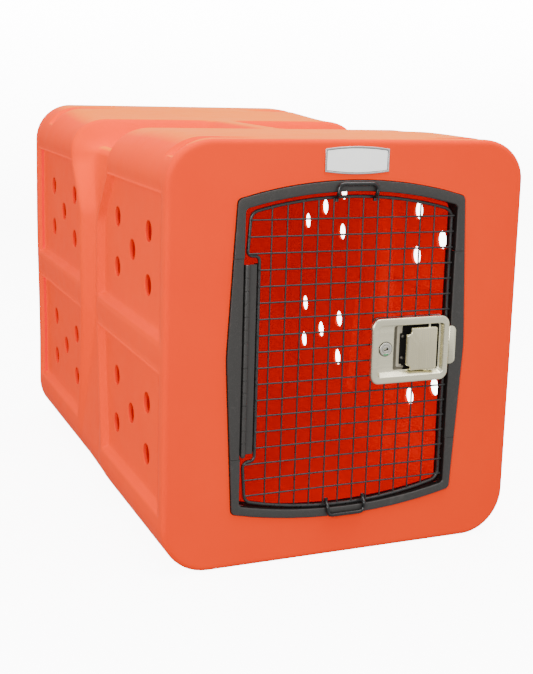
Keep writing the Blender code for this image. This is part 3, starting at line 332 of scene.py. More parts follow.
class Parts:
    """Vertices and faces gathered from several shapes. kind numbers the material that new faces take."""

    def __init__(self):
        self.verts = []
        self.faces = []
        self.kinds = []
        self.kind = 0

    def face(self, *corners):
        self.faces.append(corners)
        self.kinds.append(self.kind)

    def ring(self, points):
        start = len(self.verts)
        self.verts += [tuple(p) for p in points]
        return list(range(start, len(self.verts)))

    def bridge(self, first, second):
        count = len(first)
        for k in range(count):
            m = (k + 1) % count
            self.face(first[k], first[m], second[m], second[k])

    def loft(self, rings, closed=False):
        """Joins rings of points. A closed loft joins the last ring to the first, and an open one has caps."""
        made = [self.ring(points) for points in rings]
        for before, after in zip(made, made[1:]):
            self.bridge(before, after)
        if closed:
            self.bridge(made[-1], made[0])
        else:
            self.face(*made[0])
            self.face(*made[-1])

    def bar(self, points, radius, sides, closed=False, round_ends=0.0):
        """A round bar along points, with ends that are rounded over a distance."""
        points = [Vector(p) for p in points]
        count = len(points)
        rings = []
        side = None
        for i, point in enumerate(points):
            before = points[i - 1] if i or closed else point
            after = points[(i + 1) % count] if i < count - 1 or closed else point
            forward = (after - before).normalized()
            side = side or forward.orthogonal()
            side = (side - forward * side.dot(forward)).normalized()
            steps = [(0.0, 1.0)]
            if round_ends and i in (0, count - 1):
                sign = 1 if i == 0 else -1
                steps = []
                for a in (20, 50, 90)[::sign]:
                    short = round_ends * (1 - math.sin(math.radians(a)))
                    steps.append((sign * short, max(1 - short / radius, 0.3)))
            for along, share in steps:
                rings.append(circle(point + forward * along, side, forward.cross(side), radius * share, sides))
        self.loft(rings, closed)

    def turned(self, profile, point, axis, sides):
        """A solid turned about an axis. profile: (distance along it, radius)."""
        side = axis.orthogonal().normalized()
        up = axis.cross(side)
        self.loft([circle(Vector(point) + axis * along, side, up, radius, sides) for along, radius in profile])

    def block(self, x, y, z, edge):
        """A box, with its edges broken by a small flat."""
        rings = []
        for level, inset in ((z[0], edge), (z[0] + edge, 0.0), (z[1] - edge, 0.0), (z[1], edge)):
            left, right, front, back = x[0] + inset, x[1] - inset, y[0] + inset, y[1] - inset
            outline = ((left + edge, front), (right - edge, front), (right, front + edge),
                       (right, back - edge), (right - edge, back), (left + edge, back),
                       (left, back - edge), (left, front + edge))
            rings.append([(u, v, level) for u, v in outline])
        self.loft(rings)

    def weld(self, centre, half, radius):
        """A short lumpy weld bead along z."""
        rings = []
        steps = 22
        for k in range(steps + 1):
            t = -1 + 2 * k / steps
            lump = 1 + 0.14 * math.sin(17 * t + centre[2])
            size = radius * math.sqrt(max(1 - t * t, 0.02)) * lump
            rings.append(circle(Vector(centre) + half * t * Z_AXIS, X_AXIS, 0.8 * Y_AXIS, size, 12))
        self.loft(rings)


def piece(name, shape, materials, body, replaced=(), sharp=38.0):
    """A mesh object that rides on a body and stands for CAD nodes."""
    data = bpy.data.meshes.new(name)
    data.from_pydata([(x * MM, y * MM, z * MM) for x, y, z in shape.verts], [], shape.faces)
    for finish in materials:
        data.materials.append(finish)
    data.polygons.foreach_set("material_index", shape.kinds)
    mesh = bmesh.new()
    mesh.from_mesh(data)
    bmesh.ops.recalc_face_normals(mesh, faces=mesh.faces)
    mesh.to_mesh(data)
    mesh.free()
    data.shade_smooth()
    data.set_sharp_from_angle(angle=math.radians(sharp))
    made = bpy.data.objects.new(name, data)
    bpy.context.scene.collection.objects.link(made)
    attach(made, body)
    if replaced:
        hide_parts(*replaced)


# ---------------------------------------------------------------- shell

HALF_X = 303.5
HEIGHT = 677.0
HALF_Y = 471.0
WALL = 6.0
CORNER = 75.0
END_FILLET = 8.5
END_WALL_FROM = 380.0
ROOF_DIP = 13.0
ROOF_FRONT_DIP = 9.0
LEFT_SET_IN = 6.5
WAIST_HEIGHTS = (0, 100, 314, 502, 586, 640, 677)
WAIST_HALVES = (100, 100, 67, 67, 135, 147, 147)
CHANNEL_HEIGHTS = (0, 75, 120, 314, 500, 560, 602, 665, 677)
CHANNEL_DEPTHS = (0, 2, 6, 22, 25, 31, 40, 56, 57)
CHANNEL_SLOPE = (3.0, 37.0)
SPINE_X = (11.0, 70.0)
PANELS = ((90.0, 314.0), (362.0, 586.0))
PANEL_DEPTH = 12.0
PANEL_SLOPE = (3.0, 12.0)
PANEL_FAR = (445.0, 436.0)
PANEL_FOOT = 11.0
LIP_HOLLOW = 2.2
LIP_HEIGHT = 18.0
NOTCH_Y = (-437.0, 372.0)
NOTCH_HALF = (17.5, 12.5)
NOTCH_DEPTH = 12.0
NOTCH_LEVEL_DEPTH = 7.2
VENT_Y = (162.0, 252.0, 342.0)
VENT_Z = ((156.0, 198.5, 241.0), (431.0, 473.5, 516.0))
VENT_PLACES = ((0, 0), (0, 2), (1, 1), (2, 0), (2, 2))
VENT_RADIUS = 17.0
VENT_ROUND = 1.1
BLOCK = 10
BLOCK_HALF_Y = 25.0
BLOCK_HALF_Z = 21.25
FLOOR_COUNT = 4
FOOT_COUNT = 12
PANEL_COUNTS = (4, 6, 8, BLOCK, BLOCK, BLOCK, 8, 8)
ROW_COUNTS = (2, 8, 4, 4, 2, BLOCK, 4, BLOCK, 4, BLOCK, 8, 12, 2)
OPENING_HALF = 184.2
OPENING_MIDDLE = 336.0
OPENING_ARCS = ((593.2, 694.2, 1), (77.6, 836.0, -1))
OUTSIDE, INSIDE, CUT = 0, 1, 2


def blurred(z, heights, values, reach):
    """A table's value at a height, averaged over a short reach so that its bends are soft."""
    return sum(np.interp(z + reach * k / 3, heights, values) for k in range(-3, 4)) / 7


def waist_half(z):
    return blurred(z, WAIST_HEIGHTS, WAIST_HALVES, 9.0)


def taper_depth(z, nx, nz, y):
    """The roof dips to its middle and to its front edge, and the left wall's rear half is set in a little."""
    far = np.abs(y)
    roof = np.maximum(nz, 0.0) ** 2
    left = np.where(nx < 0, nx**2, 0.0)
    dip = ROOF_DIP * roof * ramp(far, 440.0, 150.0)
    set_in = LEFT_SET_IN * left * ramp(y, -130.0, 130.0) * (1 - 0.75 * ramp(z, 150.0, 470.0))
    return dip + set_in + np.where(y < 0, ROOF_FRONT_DIP * roof * ramp(far, 230.0, 430.0), 0.0)


def channel_depth(x, z, far):
    """The waist between the front and rear halves, which runs over the roof up to its spine."""
    edge = waist_half(z)
    across = ramp(far, edge - CHANNEL_SLOPE[0], edge - CHANNEL_SLOPE[1])
    spine = np.where(z > HEIGHT - CORNER, ramp(np.abs(x), *SPINE_X), 1.0)
    return across * spine * blurred(z, CHANNEL_HEIGHTS, CHANNEL_DEPTHS, 22.0)


def panel_depth(z, nx, far):
    """The sunk panels, two high, with a shallow hollow above each that leaves a thin lip at its top edge."""
    edge = waist_half(z)
    panel = np.zeros_like(far)
    lip = np.zeros_like(far)
    for low, high in PANELS:
        near = eased(far, edge + PANEL_SLOPE[0], edge + PANEL_SLOPE[1], 0.5)
        ends = np.minimum(eased(z, low, low + PANEL_FOOT, 0.35), eased(z, high, high - 3.4, 0.6))
        across = np.minimum(near, eased(far, *PANEL_FAR, 0.5))
        panel = np.maximum(panel, PANEL_DEPTH * np.minimum(across, ends))
        above = np.clip((z - high) / LIP_HEIGHT, 0.0, 1.0)
        inside = np.minimum(eased(far, edge - 2.0, edge + 4.0, 1.0), eased(far, 447.0, 441.0, 1.0))
        hollow = LIP_HOLLOW * ramp(above, 0.0, 0.2) * (1 - above)
        lip += np.where((z >= high) & (above < 1), hollow, 0.0) * inside
    return np.where(np.abs(nx) > 0.99, panel + lip, 0.0)


def notch_depth(x, z, y):
    """The strap notches over the roof's edges, one near each end."""
    beside, over = np.abs(x) - (HALF_X - CORNER), z - (HEIGHT - CORNER)
    angle = np.degrees(np.arctan2(np.maximum(over, 0), np.maximum(beside, 0)))
    round_edge = NOTCH_DEPTH * ramp(angle, 30.0, 39.0) * (1 - 0.4 * ramp(angle, 48.0, 90.0))
    level = np.where(z > HEIGHT - 1.0, NOTCH_LEVEL_DEPTH * ramp(np.abs(x), 112.0, 222.0), 0.0)
    slot = ramp(np.abs(y - np.where(y < 0, *NOTCH_Y)), *NOTCH_HALF)
    return np.where((beside > -0.01) & (over > -0.01), round_edge, level) * slot


def shell_depth(x, z, nx, nz, y):
    """How far the outer skin lies inside the plain round-cornered block."""
    far = np.abs(y)
    past = np.clip(far - (HALF_Y - END_FILLET), 0.0, END_FILLET)
    end = END_FILLET - np.sqrt(np.maximum(END_FILLET**2 - past**2, 0.0))
    sunk = np.maximum(np.maximum(channel_depth(x, z, far), panel_depth(z, nx, far)), notch_depth(x, z, y))
    return taper_depth(z, nx, nz, y) + sunk + end


def half_section():
    """Right half of the section: x, z and outward normal, from the base's middle to the top's."""
    flat = HALF_X - CORNER
    points = [(x, 0.0, 0.0, -1.0) for x in spaced([0.0, flat], [FLOOR_COUNT])[:-1]]
    for a in arc_steps(FOOT_COUNT, -90, 0)[:-1]:
        points.append((flat + CORNER * math.cos(a), CORNER * (1 + math.sin(a)), math.cos(a), math.sin(a)))
    breaks = [CORNER]
    for (low, high), heights in zip(PANELS, VENT_Z):
        edges = [heights[0] + BLOCK_HALF_Z * k for k in (-1, 1, 3, 5)]
        breaks += [low, low + PANEL_FOOT, *edges, high - 5.0, high + 3.0]
    breaks.append(HEIGHT - CORNER)
    points += [(HALF_X, z, 1.0, 0.0) for z in spaced(breaks, [*PANEL_COUNTS, *PANEL_COUNTS, 6])[:-1]]
    for a in arc_steps(20)[:-1]:
        z = HEIGHT - CORNER * (1 - math.sin(a))
        points.append((flat + CORNER * math.cos(a), z, math.cos(a), math.sin(a)))
    return points + [(x, HEIGHT, 0.0, 1.0) for x in spaced([flat, *reversed(SPINE_X), 0.0], [12, 12, 4])]


def half_rows(z, side):
    """Distances from the middle to an end face for a column at a height. side is -1 for the front.

    Near the top the last rows move to where the strap notches are."""
    edge = float(waist_half(z))
    top = float(ramp(z, 586.0, 600.0))
    last = VENT_Y[2] + BLOCK_HALF_Y
    if side < 0:
        late = (last, mix(436.0, 415.0, top), mix(445.0, 458.0, top))
    else:
        late = (mix(last, 351.0, top), mix(436.0, 393.0, top), 445.0)
    start = max(VENT_Y[0] - BLOCK_HALF_Y, edge + 18.0)
    vents = [y + way * BLOCK_HALF_Y for y in VENT_Y for way in (-1, 1)][1:-1]
    slopes = [edge + way for way in (-CHANNEL_SLOPE[1], -CHANNEL_SLOPE[0], *PANEL_SLOPE)]
    breaks = [0.0, *slopes, start, *vents, *late, HALF_Y - END_FILLET]
    return spaced(breaks, ROW_COUNTS) + [HALF_Y - back for _, back in bend(END_FILLET, 6)[1:]]


def opening_outline(points):
    """The barrel-shaped door opening, one point for each of the section's points."""
    found = []
    for x, z in points:
        dz = z - OPENING_MIDDLE
        level, radius, side = OPENING_ARCS[0 if dz > 0 else 1]
        off = OPENING_MIDDLE - (level - side * radius)
        a, b, c = x * x + dz * dz, 2 * dz * off, off * off - radius * radius
        reach = min(OPENING_HALF / max(abs(x), 1e-9), (-b + math.sqrt(b * b - 4 * a * c)) / (2 * a))
        found.append((x * reach, OPENING_MIDDLE + dz * reach))
    for level, radius, side in OPENING_ARCS:
        for x in (OPENING_HALF, -OPENING_HALF):
            corner = (x, arc_height(x, level, radius, side))
            nearest = min(range(len(found)), key=lambda i: math.dist(found[i], corner))
            found[nearest] = corner
    return found


def block_edge(c0, r0, step):
    """Grid places round a vent's block, anticlockwise from its low corner."""
    n = BLOCK
    walk = range(0, n, step)
    return [*((c0, r0 + k) for k in walk), *((c0 + k, r0 + n) for k in walk),
            *((c0 + n, r0 + n - k) for k in walk), *((c0 + n - k, r0) for k in walk)]


class Shell(Parts):
    """The moulded shell: an outer and an inner skin, each a grid of columns round the section and rows
    from front to rear. The inner grid has half as many of both."""

    def __init__(self):
        super().__init__()
        right = half_section()
        left = [(-x, z, -nx, nz) for x, z, nx, nz in reversed(right[1:-1])]
        self.section = np.array(right + left)
        rows = np.array([[-y for y in reversed(half_rows(z, -1)[1:])] + half_rows(z, 1)
                         for z in self.section[:, 1]])
        self.columns, self.rows = rows.shape
        x, z, nx, nz = (np.repeat(self.section[:, k : k + 1], self.rows, axis=1) for k in range(4))
        depth = shell_depth(x, z, nx, nz, rows)
        outer = np.stack([x - nx * depth, rows, z - nz * depth], axis=-1)
        depth = depth + WALL
        pull = WALL * np.clip((np.abs(rows) - END_WALL_FROM) / (HALF_Y - END_WALL_FROM), 0, 1)
        inner = np.stack([x - nx * depth, rows - np.sign(rows) * pull, z - nz * depth], axis=-1)[::2, ::2]
        self.inner_rows = inner.shape[1]
        self.verts = np.concatenate([outer.reshape(-1, 3), inner.reshape(-1, 3)]).tolist()

    def outer(self, c, r):
        return (c % self.columns) * self.rows + r

    def inner(self, c, r):
        return self.columns * self.rows + (c // 2 % (self.columns // 2)) * self.inner_rows + r // 2

    def bridge_half(self, fine, coarse):
        """Joins a ring to one with half as many points."""
        for k in range(len(coarse)):
            m = (k + 1) % len(coarse)
            self.face(fine[2 * k], fine[2 * k + 1], fine[(2 * k + 2) % len(fine)], coarse[m], coarse[k])

    def vent_blocks(self):
        """Each vent's block in the grid: first column and row, side of the shell and centre."""
        middle_row = (self.rows - 1) // 2
        blocks = []
        for panel, heights in enumerate(VENT_Z):
            first_column = FLOOR_COUNT + FOOT_COUNT + panel * sum(PANEL_COUNTS) + sum(PANEL_COUNTS[:3])
            for slot, level in VENT_PLACES:
                start = sum(ROW_COUNTS[: 5 + 2 * slot])
                c0 = first_column + level * BLOCK
                for facing in (-1, 1):
                    r0 = middle_row + start if facing > 0 else middle_row - start - BLOCK
                    centre = (facing * VENT_Y[slot], heights[level])
                    blocks += [(c0, r0, 1, centre), (self.columns - c0 - BLOCK, r0, -1, centre)]
        return blocks

    def add_skins(self, blocks):
        skip = np.zeros((self.columns, self.rows), dtype=bool)
        for c0, r0, _, _ in blocks:
            skip[c0 : c0 + BLOCK, r0 : r0 + BLOCK] = True
        for self.kind, step, find in ((OUTSIDE, 1, self.outer), (INSIDE, 2, self.inner)):
            for c in range(0, self.columns, step):
                for r in range(0, self.rows - 1, step):
                    if not skip[c, r]:
                        self.face(find(c, r), find(c + step, r), find(c + step, r + step), find(c, r + step))

    def add_vent(self, c0, r0, side, centre):
        """A round hole through both skins, with a softly rounded outer edge."""
        cy, cz = centre
        edge = [self.outer(c, r) for c, r in block_edge(c0, r0, 1)]
        angles = np.unwrap([math.atan2(self.verts[v][2] - cz, self.verts[v][1] - cy) for v in edge])
        turn = 2 * math.pi if angles[-1] > angles[0] else -2 * math.pi
        angles = 0.5 * angles + 0.5 * (angles[0] + turn * np.arange(len(edge)) / len(edge))
        profile = [(VENT_RADIUS + out, down, OUTSIDE) for down, out in bend(VENT_ROUND, 4)[:-1]]
        profile += [(VENT_RADIUS, VENT_ROUND, CUT), (VENT_RADIUS, WALL - 1.0, CUT),
                    (VENT_RADIUS + 0.8, WALL, CUT)]
        last = edge
        for radius, down, self.kind in profile:
            ys, zs = cy + radius * np.cos(angles), cz + radius * np.sin(angles)
            ones = np.ones_like(ys)
            depth = shell_depth(HALF_X * ones, zs, side * ones, 0 * ones, ys)
            ring = self.ring(np.stack([side * (HALF_X - depth - down), ys, zs], axis=-1).tolist())
            self.bridge(last, ring)
            last = ring
        self.kind = INSIDE
        self.bridge_half(last, [self.inner(c, r) for c, r in block_edge(c0, r0, 2)])

    def end_ring(self, row, step, find):
        """Two rings set in from the rim of an end face; the second one's vertices are returned."""
        rim = [find(c, row) for c in range(0, self.columns, step)]
        last = rim
        for amount in (2.5, 10.0):
            points = []
            for v, (_, _, nx, nz) in zip(rim, self.section[::step]):
                x, y, z = self.verts[v]
                points.append((x - nx * amount, y, z - nz * amount))
            ring = self.ring(points)
            self.bridge(last, ring)
            last = ring
        return last

    def add_ends(self):
        """The front face with the door's opening, and the plain rear face."""
        skins = ((OUTSIDE, 1, self.outer), (INSIDE, 2, self.inner))
        front = []
        for self.kind, step, find in skins:
            front.append(self.end_ring(0, step, find))
        for self.kind, step, find in skins:
            self.face(*self.end_ring(self.rows - 1, step, find))
        barrel = opening_outline([(self.verts[v][0], self.verts[v][2]) for v in front[0]])
        rim = self.ring(at_depth(barrel, -HALF_Y))
        back_rim = self.ring(at_depth(barrel, -HALF_Y + WALL))
        self.kind = OUTSIDE
        self.bridge(front[0], rim)
        self.bridge(rim, back_rim)
        self.kind = INSIDE
        self.bridge_half(back_rim, front[1])

    def drop_unused(self):
        used = sorted({v for face in self.faces for v in face})
        places = {v: i for i, v in enumerate(used)}
        self.verts = [self.verts[v] for v in used]
        self.faces = [tuple(places[v] for v in face) for face in self.faces]


def build_shell():
    shell = Shell()
    blocks = shell.vent_blocks()
    shell.add_skins(blocks)
    for block in blocks:
        shell.add_vent(*block)
    shell.add_ends()
    shell.drop_unused()
    piece("kennel_shell", shell, (ORANGE, INNER_RED, CUT_EDGE), "kennel", ("shell",), 46.0)


# ---------------------------------------------------------------- door frame

FRAME_FRONT = -475.0
FRAME_BACK = -471.3
FLANGE_BACK = -443.5
FLANGE = 2.4
LEDGE = 1.2
OUTER_ROUND = 1.3
INNER_ROUND = 2.2
FRAME_INNER_X = 181.0
FRAME_CORNER_X = 193.5
FRAME_BULGE_X = 206.0
BULGE_SOFTNESS = 0.04
FRAME_TOP = 605.6
FRAME_BOTTOM = 67.2
TOP_ARC = 707.0
BOTTOM_ARC = 847.0
BOW_ARC_HALF = 158.0
TOP_BAND = 17.0
BOTTOM_BAND = 13.8
SPLIT_TOP = 490.5
SPLIT_BOTTOM = 177.5
SPLIT_GAP = 0.6
SLOT_Y = (-459.9, -448.5)
SLOT_Z = (324.3, 347.7)
RAIL_COUNTS = (16, 2, 16)


def frame_outer_x(z):
    """The frame's outer edge bulges a little at half height, with a soft peak."""
    middle = (FRAME_TOP + FRAME_BOTTOM) / 2
    corner_top = arc_height(FRAME_CORNER_X, FRAME_TOP, TOP_ARC, 1)
    share = min(abs(z - middle) / (corner_top - middle), 1.0)
    share = math.hypot(share, BULGE_SOFTNESS) - BULGE_SOFTNESS * (1 - share)
    return mix(FRAME_BULGE_X, FRAME_CORNER_X, min(share, 1.0))


def band_section(outer, inner):
    """The frame's pressed section at one place: a flat band, rounded edges and a flange going back."""
    outer, inner = Vector(outer), Vector(inner)
    across = inner - outer
    width = across.length
    across.normalize()
    flange = width - (FLANGE if width > 2 * FLANGE else 0.4 * width)
    shape = [(-LEDGE, FRAME_BACK), (-LEDGE, FRAME_BACK - 0.5), (-0.1, FRAME_BACK - 0.9)]
    shape += [(u, FRAME_FRONT + v) for u, v in bend(OUTER_ROUND, 4)]
    shape += [(width - v, FRAME_FRONT + u) for u, v in bend(INNER_ROUND, 5)]
    shape += [(width, SLOT_Y[0]), (width, SLOT_Y[1]), (width, FLANGE_BACK), (flange, FLANGE_BACK),
              (flange, SLOT_Y[1]), (flange, SLOT_Y[0]), (flange, FRAME_BACK)]
    return [(outer.x + across.x * u, y, outer.y + across.y * u) for u, y in shape]


def band_kind(place, count):
    """The frame's outer wall and the flange's inner side are painted near-black as their deep shade."""
    return 1 if place < 3 or count - 8 <= place <= count - 6 else 0


def frame_path(side, split_z, inset, half, radius):
    """One edge of a bow: up a leg, round the corner, along the arc and down again."""
    middle_z = (FRAME_TOP if side > 0 else FRAME_BOTTOM) - side * inset
    leg = frame_outer_x(split_z) if inset == 0 else half
    arc_radius = (TOP_ARC if side > 0 else BOTTOM_ARC) - inset
    corner = arc_height(half, middle_z, arc_radius, side)
    start = [(-leg, split_z, 0), (-0.5 * (leg + half), 0.5 * (split_z + corner), 0), (-half, corner, radius)]
    xs = np.linspace(-BOW_ARC_HALF, BOW_ARC_HALF, 33)
    path = start + [(x, arc_height(x, middle_z, arc_radius, side), 0) for x in xs]
    path += [(-x, z, bend_radius) for x, z, bend_radius in reversed(start)]
    return [(p.x, p.z) for p in filleted([((x, 0.0, z), bend_radius) for x, z, bend_radius in path])]


def build_bow(name, side, split_z, band, node):
    shape = Parts()
    outer = frame_path(side, split_z, 0.0, FRAME_CORNER_X, 9.0)
    inner = frame_path(side, split_z, band, FRAME_INNER_X, 8.0)
    sections = [band_section(o, i) for o, i in zip(outer, inner)]
    shape.loft(sections)
    count = len(sections[0])
    shape.kinds[:-2] = [band_kind(k % count, count) for k in range(len(shape.faces) - 2)]
    piece(name, shape, (POWDER, PAINTED_SHADE), "kennel", (node,))


def build_rail(name, side, inner_x, node, slotted):
    """A side rail. The slotted one has a hole for the bolt through its flange."""
    shape = Parts()
    heights = spaced([SPLIT_BOTTOM + SPLIT_GAP, *SLOT_Z, SPLIT_TOP - SPLIT_GAP], RAIL_COUNTS)
    rings = [shape.ring(band_section((side * frame_outer_x(z), z), (side * inner_x, z))) for z in heights]
    count = len(rings[0])
    inner_face, outer_face = count - 7, count - 3
    below = RAIL_COUNTS[0]
    for k, (before, after) in enumerate(zip(rings, rings[1:])):
        for i in range(count):
            if slotted and k in (below, below + 1) and i in (inner_face, outer_face):
                continue
            m = (i + 1) % count
            shape.kind = band_kind(i, count)
            shape.face(before[i], before[m], after[m], after[i])
    shape.kind = 0
    if slotted:
        first, middle, last = rings[below : below + 3]
        a, b, c, d = inner_face, inner_face + 1, outer_face, outer_face + 1
        shape.face(first[a], first[b], first[c], first[d])
        shape.face(last[a], last[b], last[c], last[d])
        for lower, upper in ((first, middle), (middle, last)):
            shape.face(lower[a], lower[d], upper[d], upper[a])
            shape.face(lower[b], lower[c], upper[c], upper[b])
    shape.face(*rings[0])
    shape.face(*rings[-1])
    piece(name, shape, (POWDER, PAINTED_SHADE), "kennel", (node,))


def build_frame():
    build_bow("frame_upper_bow", 1, SPLIT_TOP, TOP_BAND, "frame_top_bow")
    build_bow("frame_lower_bow", -1, SPLIT_BOTTOM, BOTTOM_BAND, "frame_bottom_bow")
    build_rail("frame_left_rail", -1, 182.0, "frame_hinge_rail", False)
    build_rail("frame_right_rail", 1, 180.2, "frame_latch_rail", True)


# ---------------------------------------------------------------- hinge

HINGE_X = -177.0
HINGE_Y = -473.0
HINGE_Z = (183.5, 480.5)
KNUCKLES = 15
KNUCKLE_RADIUS = 4.4
KNUCKLE_PITCH = (HINGE_Z[1] - HINGE_Z[0]) / KNUCKLES
KNUCKLE_GAP = 0.2
KNUCKLE_EDGE = 0.45
PIN_HOLE = 2.4
LEAF = 1.5
LEAF_EDGE_X = -159.9
WELDS = 8
PIN_END = ((0.0, 2.3), (0.0, 4.1), (-1.2, 4.2), (-3.2, 3.6), (-4.2, 2.4), (-4.5, 1.0))


def add_knuckles(shape, first):
    """Every second knuckle. Its low and high ends are returned."""
    ranges = []
    pin = Vector((HINGE_X, HINGE_Y, 0.0))
    for i in range(first, KNUCKLES, 2):
        low = HINGE_Z[0] + i * KNUCKLE_PITCH + KNUCKLE_GAP
        high = HINGE_Z[0] + (i + 1) * KNUCKLE_PITCH - KNUCKLE_GAP
        ends = ((0.0, PIN_HOLE), (0.0, KNUCKLE_RADIUS - KNUCKLE_EDGE), (KNUCKLE_EDGE, KNUCKLE_RADIUS))
        profile = [(low + along, radius) for along, radius in ends]
        profile += [(high - along, radius) for along, radius in reversed(ends)]
        shape.loft([circle(pin + z * Z_AXIS, X_AXIS, Y_AXIS, radius, 32) for z, radius in profile])
        ranges.append((low, high))
    return ranges


def build_frame_leaf():
    shape = Parts()
    outer = HINGE_X - KNUCKLE_RADIUS
    for ends in add_knuckles(shape, 0):
        shape.block((outer, outer + LEAF), (HINGE_Y, -466.0), ends, 0.25)
    # The leaf's part reaching back and the strip in the gap beside the frame are painted near-black as shade.
    shape.kind = 1
    shape.block((outer, outer + LEAF), (-467.5, -449.0), HINGE_Z, 0.3)
    shape.block((outer, outer + 1.7), (-475.8, -466.0), HINGE_Z, 0.2)
    shape.kind = 0
    shape.turned(PIN_END, (HINGE_X, HINGE_Y, HINGE_Z[0] + 0.1), Z_AXIS, 24)
    piece("hinge_frame_half", shape, (POWDER, PAINTED_SHADE), "kennel", ("hinge_frame_leaf",))


def build_door_leaf():
    """The door's leaf, folded back along its edge and welded to the edge wire."""
    shape = Parts()
    back = HINGE_Y + KNUCKLE_RADIUS
    sheet = (back - LEAF, back)
    for ends in add_knuckles(shape, 1):
        shape.block((HINGE_X + 0.5, HINGE_X + KNUCKLE_RADIUS + LEAF), sheet, ends, 0.25)
    shape.block((HINGE_X + KNUCKLE_RADIUS + 0.6, LEAF_EDGE_X), sheet, HINGE_Z, 0.35)
    # The fold behind the edge wire and its welds are painted near-black as shade.
    shape.kind = 1
    fold_back = -461.3
    shape.block((LEAF_EDGE_X - LEAF, LEAF_EDGE_X), (back - 0.8, fold_back), HINGE_Z, 0.3)
    shape.block((LEAF_EDGE_X - LEAF, LEAF_EDGE_X + 4.4), (fold_back, fold_back + LEAF), HINGE_Z, 0.3)
    for i in range(WELDS):
        middle = HINGE_Z[0] + (i + 0.5) * (HINGE_Z[1] - HINGE_Z[0]) / WELDS + 5.0 * math.sin(2.3 * i)
        shape.weld((LEAF_EDGE_X + 1.1, -465.6, middle), 6.5 + 2.5 * (i % 3), 1.75)
    piece("hinge_door_half", shape, (POWDER, PAINTED_SHADE), "door", ("hinge_door_leaf",))


# ---------------------------------------------------------------- wire door

PITCH = 25.4
WIRE = 1.4
EDGE_WIRE = 2.75
VERTICALS = [-135.8 + PITCH * i for i in range(12)]
HORIZONTALS = [547.0 - PITCH * i for i in range(18)]
HORIZONTAL_Y = -467.9
VERTICAL_Y = -465.5
EDGE_Y = -464.4
DOOR_HALF = 176.0
DOOR_CORNER_X = -169.0
DOOR_LEFT_X = -173.8
DOOR_NOTCH_X = -154.2
DOOR_NOTCH_Z = (169.5, 492.3)
DOOR_TOP = 580.0
DOOR_BOTTOM = 83.2
DOOR_ARC = 665.0
DOOR_ARC_HALF = 138.0
LATCH_GAP_X = (45.0, 161.5)
LATCH_GAP_Z = (292.0, 378.5)
LOOP_RADIUS = 3.2
LOOP_BAR_Y = -478.45
LOOP_FOOT_Y = EDGE_Y - EDGE_WIRE - LOOP_RADIUS - 0.3


def door_arc(x, side):
    return arc_height(x, DOOR_TOP if side > 0 else DOOR_BOTTOM, DOOR_ARC, side)


def door_edge_path():
    """The edge wire: bowed at the top and bottom, with a long notch beside the hinge."""
    xs = np.linspace(-DOOR_ARC_HALF, DOOR_ARC_HALF, 25)
    low, high = DOOR_NOTCH_Z
    corners = [(DOOR_CORNER_X, door_arc(DOOR_CORNER_X, 1), 15.0)]
    corners += [(x, door_arc(x, 1), 0) for x in xs]
    corners += [(DOOR_HALF, door_arc(DOOR_HALF, 1), 18.0), (DOOR_HALF, door_arc(DOOR_HALF, -1), 18.0)]
    corners += [(x, door_arc(x, -1), 0) for x in reversed(xs)]
    corners += [(DOOR_CORNER_X, door_arc(DOOR_CORNER_X, -1), 14.0), (DOOR_LEFT_X, low, 9.5),
                (DOOR_NOTCH_X, low, 9.0), (DOOR_NOTCH_X, high, 8.0), (DOOR_LEFT_X, high, 8.0)]
    return filleted([((x, EDGE_Y, z), radius) for x, z, radius in corners], closed=True)


def outside(low, high, place, across, gap):
    """The parts of a wire's length that lie outside the latch's gap."""
    if across[0] < place < across[1]:
        return [(low, gap[0]), (gap[1], high)]
    return [(low, high)]


def wire_start(z):
    """Where a horizontal wire begins, on the edge wire's own line."""
    low, high = DOOR_NOTCH_Z
    if low < z < high:
        return DOOR_NOTCH_X
    top, bottom = door_arc(DOOR_CORNER_X, 1), door_arc(DOOR_CORNER_X, -1)
    share = (z - high) / (top - high) if z > high else (low - z) / (low - bottom)
    return mix(DOOR_LEFT_X, DOOR_CORNER_X, share)


def build_wires():
    door = Parts()
    door.bar(door_edge_path(), EDGE_WIRE, 16, closed=True)
    for x in VERTICALS:
        for low, high in outside(door_arc(x, -1), door_arc(x, 1), x, LATCH_GAP_X, LATCH_GAP_Z):
            door.bar([(x, VERTICAL_Y, low), (x, VERTICAL_Y, high)], WIRE, 12)
    for z in HORIZONTALS:
        for low, high in outside(wire_start(z) - 0.6, DOOR_HALF + 2.8, z, LATCH_GAP_Z, LATCH_GAP_X):
            door.bar([(low, HORIZONTAL_Y, z), (high, HORIZONTAL_Y, z)], WIRE, 12, round_ends=0.6)
    for z in HORIZONTALS:
        for x in (wire_start(z), DOOR_HALF):
            door.weld((x, -467.0, z), 2.1, 1.5)
    piece("door_wires", door, (WIRE_COAT,), "door", ("door_wire_panel",))


def build_stop_loop(name, side, middle, wide, bar_z, node):
    """A bent bar whose feet are welded over the door's edge wire and whose middle lies on the frame."""
    inner_edge = FRAME_TOP - TOP_BAND if side > 0 else FRAME_BOTTOM + BOTTOM_BAND
    bend_z = inner_edge - side * 3.2
    half = [((wide, LOOP_FOOT_Y, bend_z - side * 12.4), 0), ((wide, LOOP_FOOT_Y, bend_z - side * 6.5), 3.0),
            ((wide, LOOP_BAR_Y, bend_z), 3.0), ((wide, LOOP_BAR_Y, bar_z), 9.0)]
    corners = half + [((-x, y, z), radius) for (x, y, z), radius in reversed(half)]
    shape = Parts()
    shape.bar(filleted([((x + middle, y, z), radius) for (x, y, z), radius in corners]), LOOP_RADIUS, 18,
              round_ends=1.4)
    for x in (middle - wide, middle + wide):
        shape.weld((x, LOOP_FOOT_Y + 2.3, bend_z - side * 9.0), 3.4, 2.4)
    piece(name, shape, (LOOP_COAT,), "door", (node,))


# ---------------------------------------------------------------- latch
# The pan's outlines are an x range, a z range and a corner radius.

